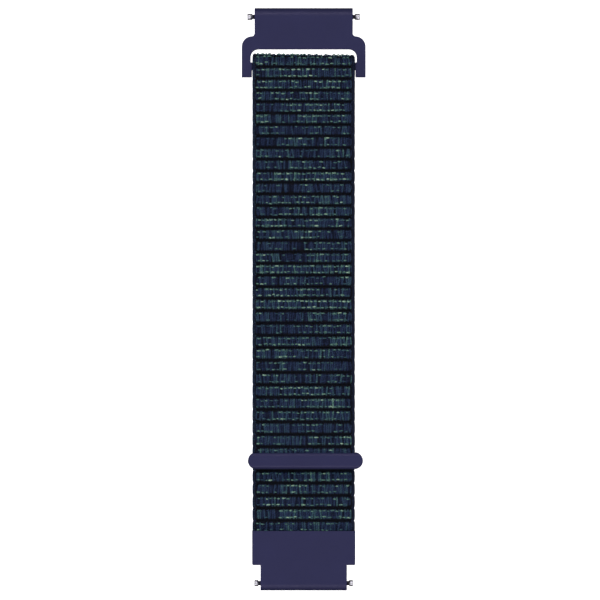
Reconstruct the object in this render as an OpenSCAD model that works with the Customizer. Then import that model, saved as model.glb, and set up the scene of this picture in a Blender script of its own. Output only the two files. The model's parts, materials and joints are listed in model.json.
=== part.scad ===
// Hook-and-loop watch band, closed and lying flat with its outer side up.
// X runs across the band, +Y towards the loop connector, +Z away from the wrist.
// The origin is at the middle of the band's length and width, on the surface it lies on.

/* [Strap] */
// Width of the woven strap
strap_w = 20.9; // [16:0.1:26]
// Thickness of the woven strap
strap_t = 1.6; // [1.2:0.05:2.2]
// Strap between the fixed connector's mouth and the crossbar's axis
run_len = 94.55; // [75:0.5:120]
// Straight part of the hairpin that folds over the crossbar
fold_run = 13; // [10:0.5:16]
// Clear space between two layers of strap
layer_gap = 0.1; // [0.05:0.05:0.2]

/* [Wrist curl] */
// Bend that each strap joint is cut for, towards the wrist
curl_deg = 26; // [15:1:30]
// Bend that each strap joint is cut for, the other way
back_deg = 8; // [4:1:12]
// Half of the clear space between two sections of strap
joint_half_gap = 0.05; // [0.03:0.01:0.1]

/* [Strap tip] */
// Length of the lifting tip from its hinge to the next strap joint
tip_first_len = 5.8; // [4:0.1:7]
// Distance from the fixed connector's mouth to the tip bar's near edge
tip_bar_from_mouth = 12.6; // [12.2:0.1:14]
// Width of the hook tape
hook_w = 18.8; // [12:0.1:20]
// Thickness of the hook tape with its hooks engaged
hook_t = 0.5; // [0.3:0.05:0.8]

/* [Tip bar] */
// Length of the tip bar beyond each edge of the strap
bar_overhang = 1.25; // [0.8:0.05:2]
// Offset of the tip bar from the strap's middle, as it was pressed on
bar_shift = 0.35; // [-0.5:0.05:0.5]
// Width of the tip bar along the strap
bar_h = 3.45; // [3:0.05:4]
// Thickness of the bar above and below the strap's end
bar_skin = 0.45; // [0.3:0.05:0.6]
// Depth of the pocket that holds the strap's end
bar_pocket = 2.2; // [1.5:0.1:2.4]

/* [Loop connector] */
// Width of the tube that enters the gap between the tracker's lugs
loop_lug_w = 20; // [17:0.1:24]
// Length of that tube part from its rounded end to the shoulder
loop_lug_len = 5.84; // [5:0.1:8]
// Thickness of the frame round the slot
ring_t = 2.2; // [1.8:0.1:2.8]
// Width of each leg beside the slot
leg_w = 1.8; // [1.4:0.1:2.6]
// Rail between the slot and the shoulder
rail_h = 2.6; // [2:0.1:4]
// Open space in the slot between the crossbar and the rail
slot_open = 2.7; // [2.4:0.1:4]
// Clear space between the strap's edge and each leg
slot_side = 0.35; // [0.2:0.05:0.6]
// Radius of the crossbar
crossbar_r = 0.8; // [0.6:0.05:1.2]
// Leg ends below the crossbar's axis
foot_drop = 2.2; // [1.6:0.1:3]
// Outer corner radius of the frame
ring_corner_r = 2.1; // [1:0.1:2.4]
// Corner radius of the slot
slot_corner_r = 1.6; // [0.8:0.1:2]
// Radius of the hollow corner between the tube part and the shoulder
shoulder_r = 0.6; // [0.3:0.1:1]
// Flat underside between the spring bar's axis and the crank
loop_flat = 2.9; // [2:0.1:3.2]
// Length of the crank, where the underside rises to the frame
loop_crank = 2.1; // [1.5:0.1:3]

/* [Fixed connector] */
// Width of the tube that enters the gap between the tracker's lugs
fixed_lug_w = 17.6; // [15:0.1:22]
// Length of that tube part from its rounded end to the shoulder
fixed_lug_len = 5.24; // [4.6:0.1:7]
// Length of the wide part from the shoulder to the mouth
fixed_body_len = 6.95; // [6:0.1:9]
// The wide part's overhang past each edge of the strap
fixed_lip = 0.05; // [0:0.05:0.6]
// Thickness of the front wall and of the back plate
shell_t = 0.65; // [0.5:0.05:0.9]
// Side wall beside the strap's end tab
side_wall = 1; // [0.8:0.1:1.5]
// End wall behind the strap's end tab
end_wall = 0.8; // [0.6:0.1:1.4]
// Clear space round the strap's end tab and the back plate
fit_gap = 0.05; // [0.03:0.01:0.1]
// Radius of the pegs that hold the tab
peg_r = 0.6; // [0.4:0.05:0.8]
// Distance between the outer pegs' axes and the middle one
peg_pitch = 6.2; // [5:0.1:7]
// Corner radius of the wide part at its shoulder
fixed_corner_r = 0.3; // [0.2:0.1:1]

/* [Spring bars] */
// Outer radius of the tube
tube_r = 0.75; // [0.6:0.05:0.9]
// Wall of the tube
tube_wall = 0.25; // [0.2:0.01:0.3]
// Radial clearance between the tube and the connector's bore
bore_gap = 0.05; // [0.02:0.01:0.1]
// Radial clearance of the sliding pins
slide_gap = 0.05; // [0.03:0.01:0.08]
// Radius of the pin's tip
tip_r = 0.62; // [0.4:0.02:0.64]
// Radius of the neck behind the tip
neck_r = 0.45; // [0.36:0.01:0.46]
// Length of the neck outside the connector
neck_out = 0.45; // [0.2:0.05:0.7]
// Length of the tip of the upper pins
upper_tip_len = 1.025; // [0.7:0.005:1.3]
// Length of the tip of the lower pins
lower_tip_len = 0.8; // [0.7:0.005:1.3]
// Inward travel of each pin
pin_travel = 1.2; // [0.8:0.1:1.4]
// Length of the pin's head inside the tube
head_len = 1.4; // [1:0.1:2]
// Radius of the spring's wire
wire_r = 0.075; // [0.05:0.005:0.09]
// Turns of the spring
spring_turns = 12; // [8:1:16]

/* [Hidden] */
$fn = 64;

navy = "#333450";
weave = "#1f2d38";
steel = "#b9b9bf";

// Lower layer of strap: seven sections of one length, then the hairpin
SECTIONS = 7;
section_len = (run_len - fold_run) / SECTIONS;

// Lengths along Y, from one end of the band to the other
ring_reach = crossbar_r + slot_open + rail_h + loop_lug_len;
fixed_len = fixed_lug_len + fixed_body_len;
total_len = fixed_len + run_len + ring_reach;
mouth_y = -total_len / 2 + fixed_len;
crossbar_y = mouth_y + run_len;

// Heights
top_z = strap_t + layer_gap;
pivot_z = strap_t + layer_gap / 2;
crossbar_z = strap_t + layer_gap + crossbar_r;
ring_top = crossbar_z + ring_t / 2;
loop_end_r = ring_top / 2;
fixed_t = 2 * shell_t + strap_t + 2 * fit_gap;
fixed_end_r = fixed_t / 2;
tab_z = shell_t + fit_gap;

// The hook tape lifts the tip of the strap
tip_z = top_z + hook_t;
tip_hinge_y = joint_y(3) + tip_first_len;
bar_y = mouth_y + tip_bar_from_mouth + bar_h / 2;
bar_z = tip_z - bar_skin;
bar_t = strap_t + 2 * bar_skin;

// Spring bars
bore_r = tube_r + bore_gap;
hollow_r = tube_r - tube_wall;
crimp_len = 0.4;
crimp_r = hollow_r - 0.13;
end_play = 0.05;
upper_y = crossbar_y + ring_reach - loop_end_r;
lower_y = mouth_y - fixed_len + fixed_end_r;

// Every cutter stands proud of what it cuts by this much
cut = 1;

// The openings between sections are cut this much wider than the bend
spare_deg = 0.3;

// Rounding of the tip bar's long edges, and of the pins' ends
bar_edge_r = 0.9;
pin_edge = 0.12;

// Place of strap joint k along Y, counted from the fixed connector's mouth
function joint_y(k) = mouth_y + k * section_len;

// Half of the opening between two sections at height z, wide enough for the bend both ways
function opening(z) = joint_half_gap
    + (z < pivot_z
        ? (pivot_z - z) * tan(curl_deg / 2 + spare_deg)
        : (z - pivot_z) * tan(back_deg / 2 + spare_deg));

// A shape drawn in the Y-Z plane, extruded across the band
module across(width) {
    rotate([90, 0, 90])
        linear_extrude(width, center = true)
            children();
}

// A cylinder along X from x0 to x1
module rod(r, x0, x1) {
    translate([x0, 0, 0])
        rotate([0, 90, 0])
            cylinder(r = r, h = x1 - x0);
}

// A box given by its two corners in X and Y, drawn in the plane
module box2(x0, x1, y0, y1) {
    translate([x0, y0])
        square([x1 - x0, y1 - y0]);
}

// One section of a layer of strap between joints a and b, whose underside is at z0
module section(a, b, z0) {
    z1 = z0 + strap_t;
    across(strap_w)
        polygon([
            [joint_y(a) + opening(z0), z0],
            [joint_y(b) - opening(z0), z0],
            [joint_y(b) - opening(z1), z1],
            [joint_y(a) + opening(z1), z1]
        ]);
}

module strap_base(k) {
    color(weave)
        section(k - 1, k, 0);
}

// The first section slopes from the fixed connector's mouth down to the surface
module strap_base_1() {
    mouth_bottom = (strap_t + fit_gap) * tan(curl_deg + 10 * spare_deg);
    color(weave)
        across(strap_w)
            polygon([
                [mouth_y + joint_half_gap + mouth_bottom, tab_z],
                [joint_y(1) - opening(0), 0],
                [joint_y(1) - opening(strap_t), strap_t],
                [mouth_y + joint_half_gap, tab_z + strap_t]
            ]);
}

module strap_top(k) {
    color(weave)
        section(k - 1, k, top_z);
}

// The top section that the tip is hinged to ends in the middle of base section 4
module strap_top_4() {
    color(weave)
        across(strap_w)
            polygon([
                [tip_hinge_y + joint_half_gap, top_z],
                [joint_y(4) - opening(top_z), top_z],
                [joint_y(4) - opening(top_z + strap_t), top_z + strap_t],
                [tip_hinge_y + joint_half_gap, top_z + strap_t]
            ]);
}

// The hairpin: wrist-side run, half turn round the crossbar, outer run that slopes down again
module strap_fold() {
    y0 = joint_y(SECTIONS);
    inner = crossbar_r + layer_gap;
    outer = inner + strap_t;
    color(weave)
        across(strap_w)
            union() {
                polygon([
                    [y0 + opening(0), 0],
                    [crossbar_y, 0],
                    [crossbar_y, strap_t],
                    [y0 + opening(strap_t), strap_t]
                ]);
                polygon([
                    [y0 + opening(top_z), top_z],
                    [crossbar_y, crossbar_z + inner],
                    [crossbar_y, crossbar_z + outer],
                    [y0 + opening(top_z + strap_t), top_z + strap_t]
                ]);
                translate([crossbar_y, crossbar_z])
                    intersection() {
                        difference() {
                            circle(r = outer);
                            circle(r = inner);
                        }
                        translate([0, -outer])
                            square([outer, 2 * outer]);
                    }
            }
}

// The tip's first section rises onto the hook tape
module strap_tip_a() {
    color(weave)
        across(strap_w)
            polygon([
                [joint_y(3) + opening(tip_z), tip_z],
                [tip_hinge_y - joint_half_gap, top_z],
                [tip_hinge_y - joint_half_gap, top_z + strap_t],
                [joint_y(3) + opening(tip_z + strap_t), tip_z + strap_t]
            ]);
}

module strap_tip_b() {
    color(weave)
        section(2, 3, tip_z);
}

// The last section ends in the tip bar's pocket
module strap_tip_c() {
    pocket_y = bar_y + bar_h / 2 - bar_pocket;
    color(weave)
        across(strap_w)
            polygon([
                [pocket_y + fit_gap, tip_z],
                [joint_y(2) - opening(tip_z), tip_z],
                [joint_y(2) - opening(tip_z + strap_t), tip_z + strap_t],
                [pocket_y + fit_gap, tip_z + strap_t]
            ]);
}

module hook_tape(y0, y1) {
    color("#20242c")
        translate([-hook_w / 2, y0, top_z])
            cube([hook_w, y1 - y0, hook_t]);
}

module hook_tape_b() {
    hook_tape(joint_y(2) + opening(top_z), joint_y(3) - opening(top_z));
}

module hook_tape_c() {
    hook_tape(bar_y + bar_h / 2 + fit_gap, joint_y(2) - opening(top_z));
}

// A bar with round ends, drawn in the plane
module stadium(length, height) {
    square([length - height, height], center = true);
    for (side = [-1, 1])
        translate([side * (length - height) / 2, 0])
            circle(d = height);
}

// Outline of the tip bar's cross-section, with rounded long edges
module bar_section() {
    for (y = [-1, 1], z = [-1, 1])
        translate([y * (bar_h / 2 - bar_edge_r), z * (bar_t / 2 - bar_edge_r)])
            circle(r = bar_edge_r);
    square([bar_h, bar_t - 2 * bar_edge_r], center = true);
    square([bar_h - 2 * bar_edge_r, bar_t], center = true);
}

module tip_bar() {
    length = strap_w + 2 * bar_overhang;
    color(navy)
        translate([0, bar_y, bar_z])
            difference() {
                intersection() {
                    translate([bar_shift, 0, 0])
                        linear_extrude(bar_t)
                            stadium(length, bar_h);
                    translate([bar_shift, 0, bar_t / 2])
                        across(length + cut)
                            bar_section();
                }
                translate([-strap_w / 2 - fit_gap, bar_h / 2 - bar_pocket, bar_skin - fit_gap])
                    cube([strap_w + 2 * fit_gap, bar_pocket + cut, strap_t + 2 * fit_gap]);
            }
}

// Plan of the loop connector, with its slot
module loop_plan() {
    slot_w = strap_w + 2 * slot_side;
    ring_w = slot_w + 2 * leg_w;
    foot_gap = strap_w / 2 + layer_gap;
    foot_y = crossbar_y - foot_drop;
    slot_y = crossbar_y + crossbar_r + slot_open;
    shoulder_y = slot_y + rail_h;
    end_y = shoulder_y + loop_lug_len;
    corner_x = ring_w / 2 - ring_corner_r;
    difference() {
        union() {
            box2(-loop_lug_w / 2, loop_lug_w / 2, shoulder_y - rail_h, end_y);
            box2(-ring_w / 2, ring_w / 2, foot_y, shoulder_y - ring_corner_r);
            box2(-corner_x, corner_x, foot_y, shoulder_y);
            for (side = [-1, 1])
                translate([side * corner_x, shoulder_y - ring_corner_r])
                    circle(r = ring_corner_r);
            for (side = [-1, 1])
                translate([side * (loop_lug_w / 2 + shoulder_r / 2), shoulder_y + shoulder_r / 2])
                    square(shoulder_r, center = true);
        }
        box2(-foot_gap, foot_gap, foot_y - cut, crossbar_y + crossbar_r);
        box2(-slot_w / 2, slot_w / 2, crossbar_y + crossbar_r, slot_y - slot_corner_r);
        box2(slot_corner_r - slot_w / 2, slot_w / 2 - slot_corner_r, crossbar_y, slot_y);
        for (side = [-1, 1])
            translate([side * (slot_w / 2 - slot_corner_r), slot_y - slot_corner_r])
                circle(r = slot_corner_r);
        for (side = [-1, 1])
            translate([side * (loop_lug_w / 2 + shoulder_r), shoulder_y + shoulder_r])
                circle(r = shoulder_r);
    }
}

// Side view of the loop connector: round tube end on the surface, frame raised to the crossbar
module loop_profile() {
    frame_z = ring_top - ring_t;
    foot_y = crossbar_y - foot_drop;
    slope_y = upper_y - loop_flat;
    polygon([
        [foot_y, frame_z],
        [slope_y - loop_crank, frame_z],
        [slope_y, 0],
        [upper_y, 0],
        [upper_y, ring_top],
        [foot_y, ring_top]
    ]);
    translate([upper_y, loop_end_r])
        circle(r = loop_end_r);
}

module loop_connector() {
    ring_w = strap_w + 2 * slot_side + 2 * leg_w;
    bar_half = strap_w / 2 + layer_gap + leg_w / 2;
    color(navy)
        difference() {
            union() {
                intersection() {
                    linear_extrude(ring_top)
                        loop_plan();
                    across(ring_w + cut)
                        loop_profile();
                }
                translate([0, crossbar_y, crossbar_z])
                    rod(crossbar_r, -bar_half, bar_half);
            }
            translate([0, upper_y, loop_end_r])
                rod(bore_r, -loop_lug_w / 2 - cut, loop_lug_w / 2 + cut);
        }
}

// Plan of the fixed connector
module fixed_plan() {
    half = strap_w / 2 + fixed_lip;
    shoulder_y = mouth_y - fixed_body_len;
    box2(-fixed_lug_w / 2, fixed_lug_w / 2, shoulder_y - fixed_lug_len, mouth_y);
    box2(-half, half, shoulder_y + fixed_corner_r, mouth_y);
    box2(fixed_corner_r - half, half - fixed_corner_r, shoulder_y, mouth_y);
    for (side = [-1, 1])
        translate([side * (half - fixed_corner_r), shoulder_y + fixed_corner_r])
            circle(r = fixed_corner_r);
}

// Side view of the fixed connector
module fixed_profile() {
    polygon([
        [lower_y, 0],
        [mouth_y, 0],
        [mouth_y, fixed_t],
        [lower_y, fixed_t]
    ]);
    translate([lower_y, fixed_end_r])
        circle(r = fixed_end_r);
}

// The pocket's plan, less a gap all round
module pocket_plan(gap) {
    half = strap_w / 2 + fixed_lip - side_wall - gap;
    box2(-half, half, mouth_y - fixed_body_len + end_wall + gap, mouth_y);
}

// The three pegs' places along X, half-way along the tab
module at_pegs() {
    peg_y = mouth_y - (fixed_body_len - end_wall) / 2;
    for (k = [-1 : 1])
        translate([k * peg_pitch, peg_y, 0])
            children();
}

module fixed_connector_front() {
    color(navy) {
        difference() {
            intersection() {
                linear_extrude(fixed_t)
                    fixed_plan();
                across(strap_w + 2 * fixed_lip + cut)
                    fixed_profile();
            }
            translate([0, 0, -cut])
                linear_extrude(fixed_t - shell_t + cut)
                    difference() {
                        union() {
                            pocket_plan(0);
                            translate([0, cut])
                                pocket_plan(0);
                        }
                        at_pegs()
                            circle(r = peg_r);
                    }
            translate([-strap_w, mouth_y - fixed_body_len + end_wall, -cut])
                cube([2 * strap_w, fixed_body_len, cut + fit_gap]);
            translate([0, lower_y, fixed_end_r])
                rod(bore_r, -fixed_lug_w / 2 - cut, fixed_lug_w / 2 + cut);
        }
    }
}

module fixed_connector_back() {
    color(navy)
        linear_extrude(shell_t)
            difference() {
                pocket_plan(fit_gap);
                at_pegs()
                    circle(r = peg_r + fit_gap);
            }
}

module strap_end_tab() {
    color(weave)
        translate([0, 0, tab_z])
            linear_extrude(strap_t)
                difference() {
                    translate([0, -joint_half_gap])
                        pocket_plan(fit_gap + joint_half_gap);
                    at_pegs()
                        circle(r = peg_r + fit_gap);
                }
}

// Places a spring bar of a connector of the given width; parts are drawn for the +X end
function neck_x(width) = width / 2 - end_play;
function tube_x(width) = neck_x(width) - pin_travel - 2 * end_play;
function head_x(width) = tube_x(width) - crimp_len - end_play;

module bar_tube(width) {
    x1 = tube_x(width);
    color(steel)
        difference() {
            rod(tube_r, -x1, x1);
            rod(hollow_r, crimp_len - x1, x1 - crimp_len);
            rod(crimp_r, -x1 - cut, x1 + cut);
        }
}

module bar_pin(width, tip_len) {
    out = width / 2 + neck_out;
    color(steel) {
        rod(hollow_r - slide_gap, head_x(width) - head_len, head_x(width));
        rod(crimp_r - slide_gap, head_x(width) - pin_edge, neck_x(width) + pin_edge);
        rod(neck_r, neck_x(width), out + pin_edge);
        rod(tip_r, out, out + tip_len - pin_edge);
        translate([out + tip_len - pin_edge, 0, 0])
            rotate([0, 90, 0])
                cylinder(r1 = tip_r, r2 = tip_r - pin_edge, h = pin_edge);
    }
}

// A ring of the spring's wire at each step, joined into a tube along the coil
module bar_spring(width) {
    steps = 10;
    sides = 6;
    coil_r = hollow_r - wire_r - slide_gap;
    half = head_x(width) - head_len - end_play - wire_r;
    count = spring_turns * steps;
    rings = [
        for (i = [0 : count])
            let (turn = 360 * i / steps, x = -half + 2 * half * i / count)
            for (j = [0 : sides - 1])
                let (a = 360 * j / sides, r = coil_r + wire_r * cos(a))
                [x + wire_r * sin(a), r * cos(turn), r * sin(turn)]
    ];
    walls = [
        for (i = [0 : count - 1], j = [0 : sides - 1])
            let (n = (j + 1) % sides, p = i * sides, q = p + sides)
            each [[p + j, q + j, q + n], [p + j, q + n, p + n]]
    ];
    ends = [
        [for (j = [0 : sides - 1]) j],
        [for (j = [0 : sides - 1]) count * sides + sides - 1 - j]
    ];
    color(steel)
        polyhedron(rings, concat(walls, ends));
}

module on_upper_bar() {
    translate([0, upper_y, loop_end_r])
        children();
}

module on_lower_bar() {
    translate([0, lower_y, fixed_end_r])
        children();
}

loop_connector();
on_upper_bar() bar_tube(loop_lug_w);  // upper_bar_tube
on_upper_bar() bar_spring(loop_lug_w);  // upper_bar_spring
on_upper_bar() mirror([1, 0, 0]) bar_pin(loop_lug_w, upper_tip_len);  // upper_bar_left_pin
on_upper_bar() bar_pin(loop_lug_w, upper_tip_len);  // upper_bar_right_pin
strap_fold();
strap_base_1();
strap_base(2);  // strap_base_2
strap_base(3);  // strap_base_3
strap_base(4);  // strap_base_4
strap_base(5);  // strap_base_5
strap_base(6);  // strap_base_6
strap_base(7);  // strap_base_7
strap_top_4();
strap_top(5);  // strap_top_5
strap_top(6);  // strap_top_6
strap_top(7);  // strap_top_7
strap_tip_a();
strap_tip_b();
strap_tip_c();
hook_tape_b();
hook_tape_c();
tip_bar();
fixed_connector_front();
fixed_connector_back();
strap_end_tab();
on_lower_bar() bar_tube(fixed_lug_w);  // lower_bar_tube
on_lower_bar() bar_spring(fixed_lug_w);  // lower_bar_spring
on_lower_bar() mirror([1, 0, 0]) bar_pin(fixed_lug_w, lower_tip_len);  // lower_bar_left_pin
on_lower_bar() bar_pin(fixed_lug_w, lower_tip_len);  // lower_bar_right_pin
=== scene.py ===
"""Looks of a woven hook-and-loop band for a fitness tracker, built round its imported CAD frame.

X runs across the band, +Y towards the loop connector and +Z away from the wrist. The sizes in the
classes are millimetres, and MM turns them into Blender's metres when a mesh is made.
"""

import json
import logging
import math
from collections.abc import Callable
from dataclasses import dataclass, field
from enum import Enum

import bmesh
import bpy
import numpy as np
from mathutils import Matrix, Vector

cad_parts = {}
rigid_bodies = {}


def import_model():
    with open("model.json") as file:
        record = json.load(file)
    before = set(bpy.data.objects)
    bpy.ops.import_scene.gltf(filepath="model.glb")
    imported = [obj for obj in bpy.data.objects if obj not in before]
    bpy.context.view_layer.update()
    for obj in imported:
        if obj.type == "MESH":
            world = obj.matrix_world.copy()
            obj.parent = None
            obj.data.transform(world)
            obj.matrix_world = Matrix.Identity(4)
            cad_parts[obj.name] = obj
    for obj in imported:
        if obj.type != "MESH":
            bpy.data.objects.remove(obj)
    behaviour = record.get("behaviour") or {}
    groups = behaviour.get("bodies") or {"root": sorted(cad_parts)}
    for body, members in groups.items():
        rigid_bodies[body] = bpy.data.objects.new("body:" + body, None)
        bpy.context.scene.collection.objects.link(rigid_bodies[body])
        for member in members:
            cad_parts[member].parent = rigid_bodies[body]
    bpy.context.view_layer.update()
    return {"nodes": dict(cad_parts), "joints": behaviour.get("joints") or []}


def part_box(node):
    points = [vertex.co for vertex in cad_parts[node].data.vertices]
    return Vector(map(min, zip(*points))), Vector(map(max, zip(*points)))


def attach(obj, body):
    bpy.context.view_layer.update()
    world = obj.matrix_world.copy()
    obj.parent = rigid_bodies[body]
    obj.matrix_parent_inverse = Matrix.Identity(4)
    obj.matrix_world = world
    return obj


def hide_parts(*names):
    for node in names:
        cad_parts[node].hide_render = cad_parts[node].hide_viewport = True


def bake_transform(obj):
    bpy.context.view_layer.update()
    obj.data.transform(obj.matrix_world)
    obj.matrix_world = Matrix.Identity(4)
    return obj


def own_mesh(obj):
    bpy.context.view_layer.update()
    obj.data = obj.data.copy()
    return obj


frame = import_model()

MM = 0.001
YARN_TONE = "yarn_tone"
YARN_TWIST = "yarn_twist"
BAKE_MAP = "OFBake"
PIN_SUFFIX = "_turned"
log = logging.getLogger("band")


def linear(hex_colour: str) -> tuple[float, float, float, float]:
    """Turn an sRGB hex colour into Blender's linear colour.

    Args:
        hex_colour: the colour, such as "#333450".

    Returns:
        Red, green, blue and alpha, linear.
    """
    channels = [int(hex_colour[i : i + 2], 16) / 255 for i in (1, 3, 5)]
    curve = [c / 12.92 if c <= 0.04045 else ((c + 0.055) / 1.055) ** 2.4 for c in channels]
    return (*curve, 1.0)


def smooth(t: np.ndarray | float) -> np.ndarray | float:
    """Rise gently from 0 at t = 0 to 1 at t = 1.

    Args:
        t: a number, or many.

    Returns:
        The height at each.
    """
    t = np.clip(t, 0.0, 1.0)
    return t * t * (3 - 2 * t)


def box_mm(node: str) -> tuple[Vector, Vector]:
    """Give a CAD node's lowest and highest corners in millimetres."""
    low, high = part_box(node)
    return low / MM, high / MM


def joint_mm(name: str) -> Vector:
    """Give a joint's place in millimetres."""
    joint = next(j for j in frame["joints"] if j["name"] == name)
    return Vector(joint["pos_m"]) / MM


def add_node(
    tree: bpy.types.NodeTree, kind: str, inputs: dict[str | int, object], **settings: object
) -> bpy.types.Node:
    """Add one shader node, with its settings, its values and the links into it.

    Args:
        tree: the material's node tree.
        kind: Blender's name for the kind of node.
        inputs: a value, or another node's output, for each named or numbered input.
        settings: the node's own properties.

    Returns:
        The new node.
    """
    node = tree.nodes.new(kind)
    for name, value in settings.items():
        setattr(node, name, value)
    for name, value in inputs.items():
        if isinstance(value, bpy.types.NodeSocket):
            tree.links.new(value, node.inputs[name])
        else:
            node.inputs[name].default_value = value
    return node


def set_ramp(
    node: bpy.types.Node, stops: tuple[tuple[float, str], ...]
) -> bpy.types.NodeSocket:
    """Give a colour ramp its stops.

    Args:
        node: the ColorRamp node.
        stops: the place and hex colour of each stop, in order.

    Returns:
        The ramp's colour output.
    """
    elements = node.color_ramp.elements
    while len(elements) < len(stops):
        elements.new(0.5)
    for element, (place, colour) in zip(elements, stops, strict=True):
        element.position = place
        element.color = linear(colour)
    return node.outputs["Color"]


# ---------------------------------------------------------------------------
# Finishes
# ---------------------------------------------------------------------------


@dataclass(frozen=True)
class Finish:
    """What a material is called, and how it meets light.

    Attributes:
        name: the real material and how its surface was made.
        slot: the record's material slot.
        roughness: how far the surface spreads a reflection.
        ior: refractive index, or None to keep Blender's own for a metal.
        metallic: 1 for a metal.
    """

    name: str
    slot: str
    roughness: float
    ior: float | None = None
    metallic: float = 0.0

    def make(self) -> bpy.types.Material:
        """Make the material.

        Returns:
            The material, its nodes built by the finish's own draw method.
        """
        material = bpy.data.materials.new(self.name)
        material.use_nodes = True
        tree = material.node_tree
        shader = next(n for n in tree.nodes if n.type == "BSDF_PRINCIPLED")
        shader.inputs["Roughness"].default_value = self.roughness
        shader.inputs["Metallic"].default_value = self.metallic
        if self.ior is not None:
            shader.inputs["IOR"].default_value = self.ior
        place = add_node(tree, "ShaderNodeTexCoord", {}).outputs["Object"]
        self.draw(tree, shader, place)
        return material

    def draw(
        self, tree: bpy.types.NodeTree, shader: bpy.types.Node, place: bpy.types.NodeSocket
    ) -> None:
        """Add the finish's own nodes.

        Args:
            tree: the material's node tree.
            shader: its Principled node.
            place: where each point is, in metres.
        """
        raise NotImplementedError


@dataclass(frozen=True)
class WovenNylon(Finish):
    """Solution-dyed nylon yarn, woven: a dull thread with navy, blue-violet and grey-green filaments.

    The dye gives each thread its own colour; the filaments break the light up along it.

    Attributes:
        tones: the yarn's colours, from its darkest tone, 0, to its lightest, 1.
        filament_mm: size of a filament's mark.
        patch_mm: size of the patches that the dye drifts in.
        plies: strands that are twisted into a thread.
        patch_tone: how far the dye drifts from patch to patch.
        filament_tone: how far it differs between filaments.
        painted_ply_shading: painted light and shade round each ply: how far its tone is raised on one
            part of the twist's turn and lowered on the other.
        ply_relief: height of a ply, where a filament's is 1.
        bump_mm: height of the whole relief.
        bump_strength: share of the relief that shows.
        sheen: how much the dull yarn mirrors, where 0.5 is all that its IOR gives.
    """

    tones: tuple[tuple[float, str], ...] = (
        (0.0, "#010306"),
        (0.2, "#0b1226"),
        (0.42, "#202d48"),
        (0.6, "#2c4650"),
        (0.8, "#517468"),
        (1.0, "#8ba992"),
    )
    filament_mm: float = 0.2  # a filament is 0.02 mm; drawn coarser so that it shows
    patch_mm: float = 1.6
    plies: int = 2
    patch_tone: float = 0.09
    filament_tone: float = 0.14
    painted_ply_shading: float = 0.06
    ply_relief: float = 0.7
    bump_mm: float = 0.04
    bump_strength: float = 0.7
    sheen: float = 0.3

    def draw(
        self, tree: bpy.types.NodeTree, shader: bpy.types.Node, place: bpy.types.NodeSocket
    ) -> None:
        """Colour each thread by its tone, and mark it with plies and filaments.

        Args:
            tree: the material's node tree.
            shader: its Principled node.
            place: where each point is, in metres.
        """
        twist = add_node(tree, "ShaderNodeAttribute", {}, attribute_name=YARN_TWIST)
        turns = {0: twist.outputs["Fac"], 1: math.tau * self.plies}
        angle = add_node(tree, "ShaderNodeMath", turns, operation="MULTIPLY")
        ply = add_node(tree, "ShaderNodeMath", {0: angle.outputs[0]}, operation="SINE").outputs[0]

        attribute = add_node(tree, "ShaderNodeAttribute", {}, attribute_name=YARN_TONE)
        tone = attribute.outputs["Fac"]
        for size_mm, detail, spread in (
            (self.patch_mm, 2.0, self.patch_tone),
            (self.filament_mm, 3.0, self.filament_tone),
        ):
            marks = {"Vector": place, "Scale": 1 / (size_mm * MM), "Detail": detail}
            noise = add_node(tree, "ShaderNodeTexNoise", marks).outputs["Fac"]
            spans = {"Value": noise, "To Min": -spread, "To Max": spread}
            drift = add_node(tree, "ShaderNodeMapRange", spans).outputs[0]
            tone = add_node(tree, "ShaderNodeMath", {0: tone, 1: drift}, operation="ADD").outputs[0]
        # painted light and shade round each ply: the tone is raised and lowered with the turn of the
        # twist
        shade = {0: ply, 1: self.painted_ply_shading, 2: tone}
        shaded = add_node(tree, "ShaderNodeMath", shade, operation="MULTIPLY_ADD")
        ramp = add_node(tree, "ShaderNodeValToRGB", {"Fac": shaded.outputs[0]})
        tree.links.new(set_ramp(ramp, self.tones), shader.inputs["Base Color"])

        heights = {0: ply, 1: self.ply_relief, 2: noise}  # the noise is the filaments' own
        relief = add_node(tree, "ShaderNodeMath", heights, operation="MULTIPLY_ADD").outputs[0]
        bump = add_node(
            tree,
            "ShaderNodeBump",
            {"Height": relief, "Distance": self.bump_mm * MM, "Strength": self.bump_strength},
        )
        tree.links.new(bump.outputs[0], shader.inputs["Normal"])
        shader.inputs["Specular IOR Level"].default_value = self.sheen


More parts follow.
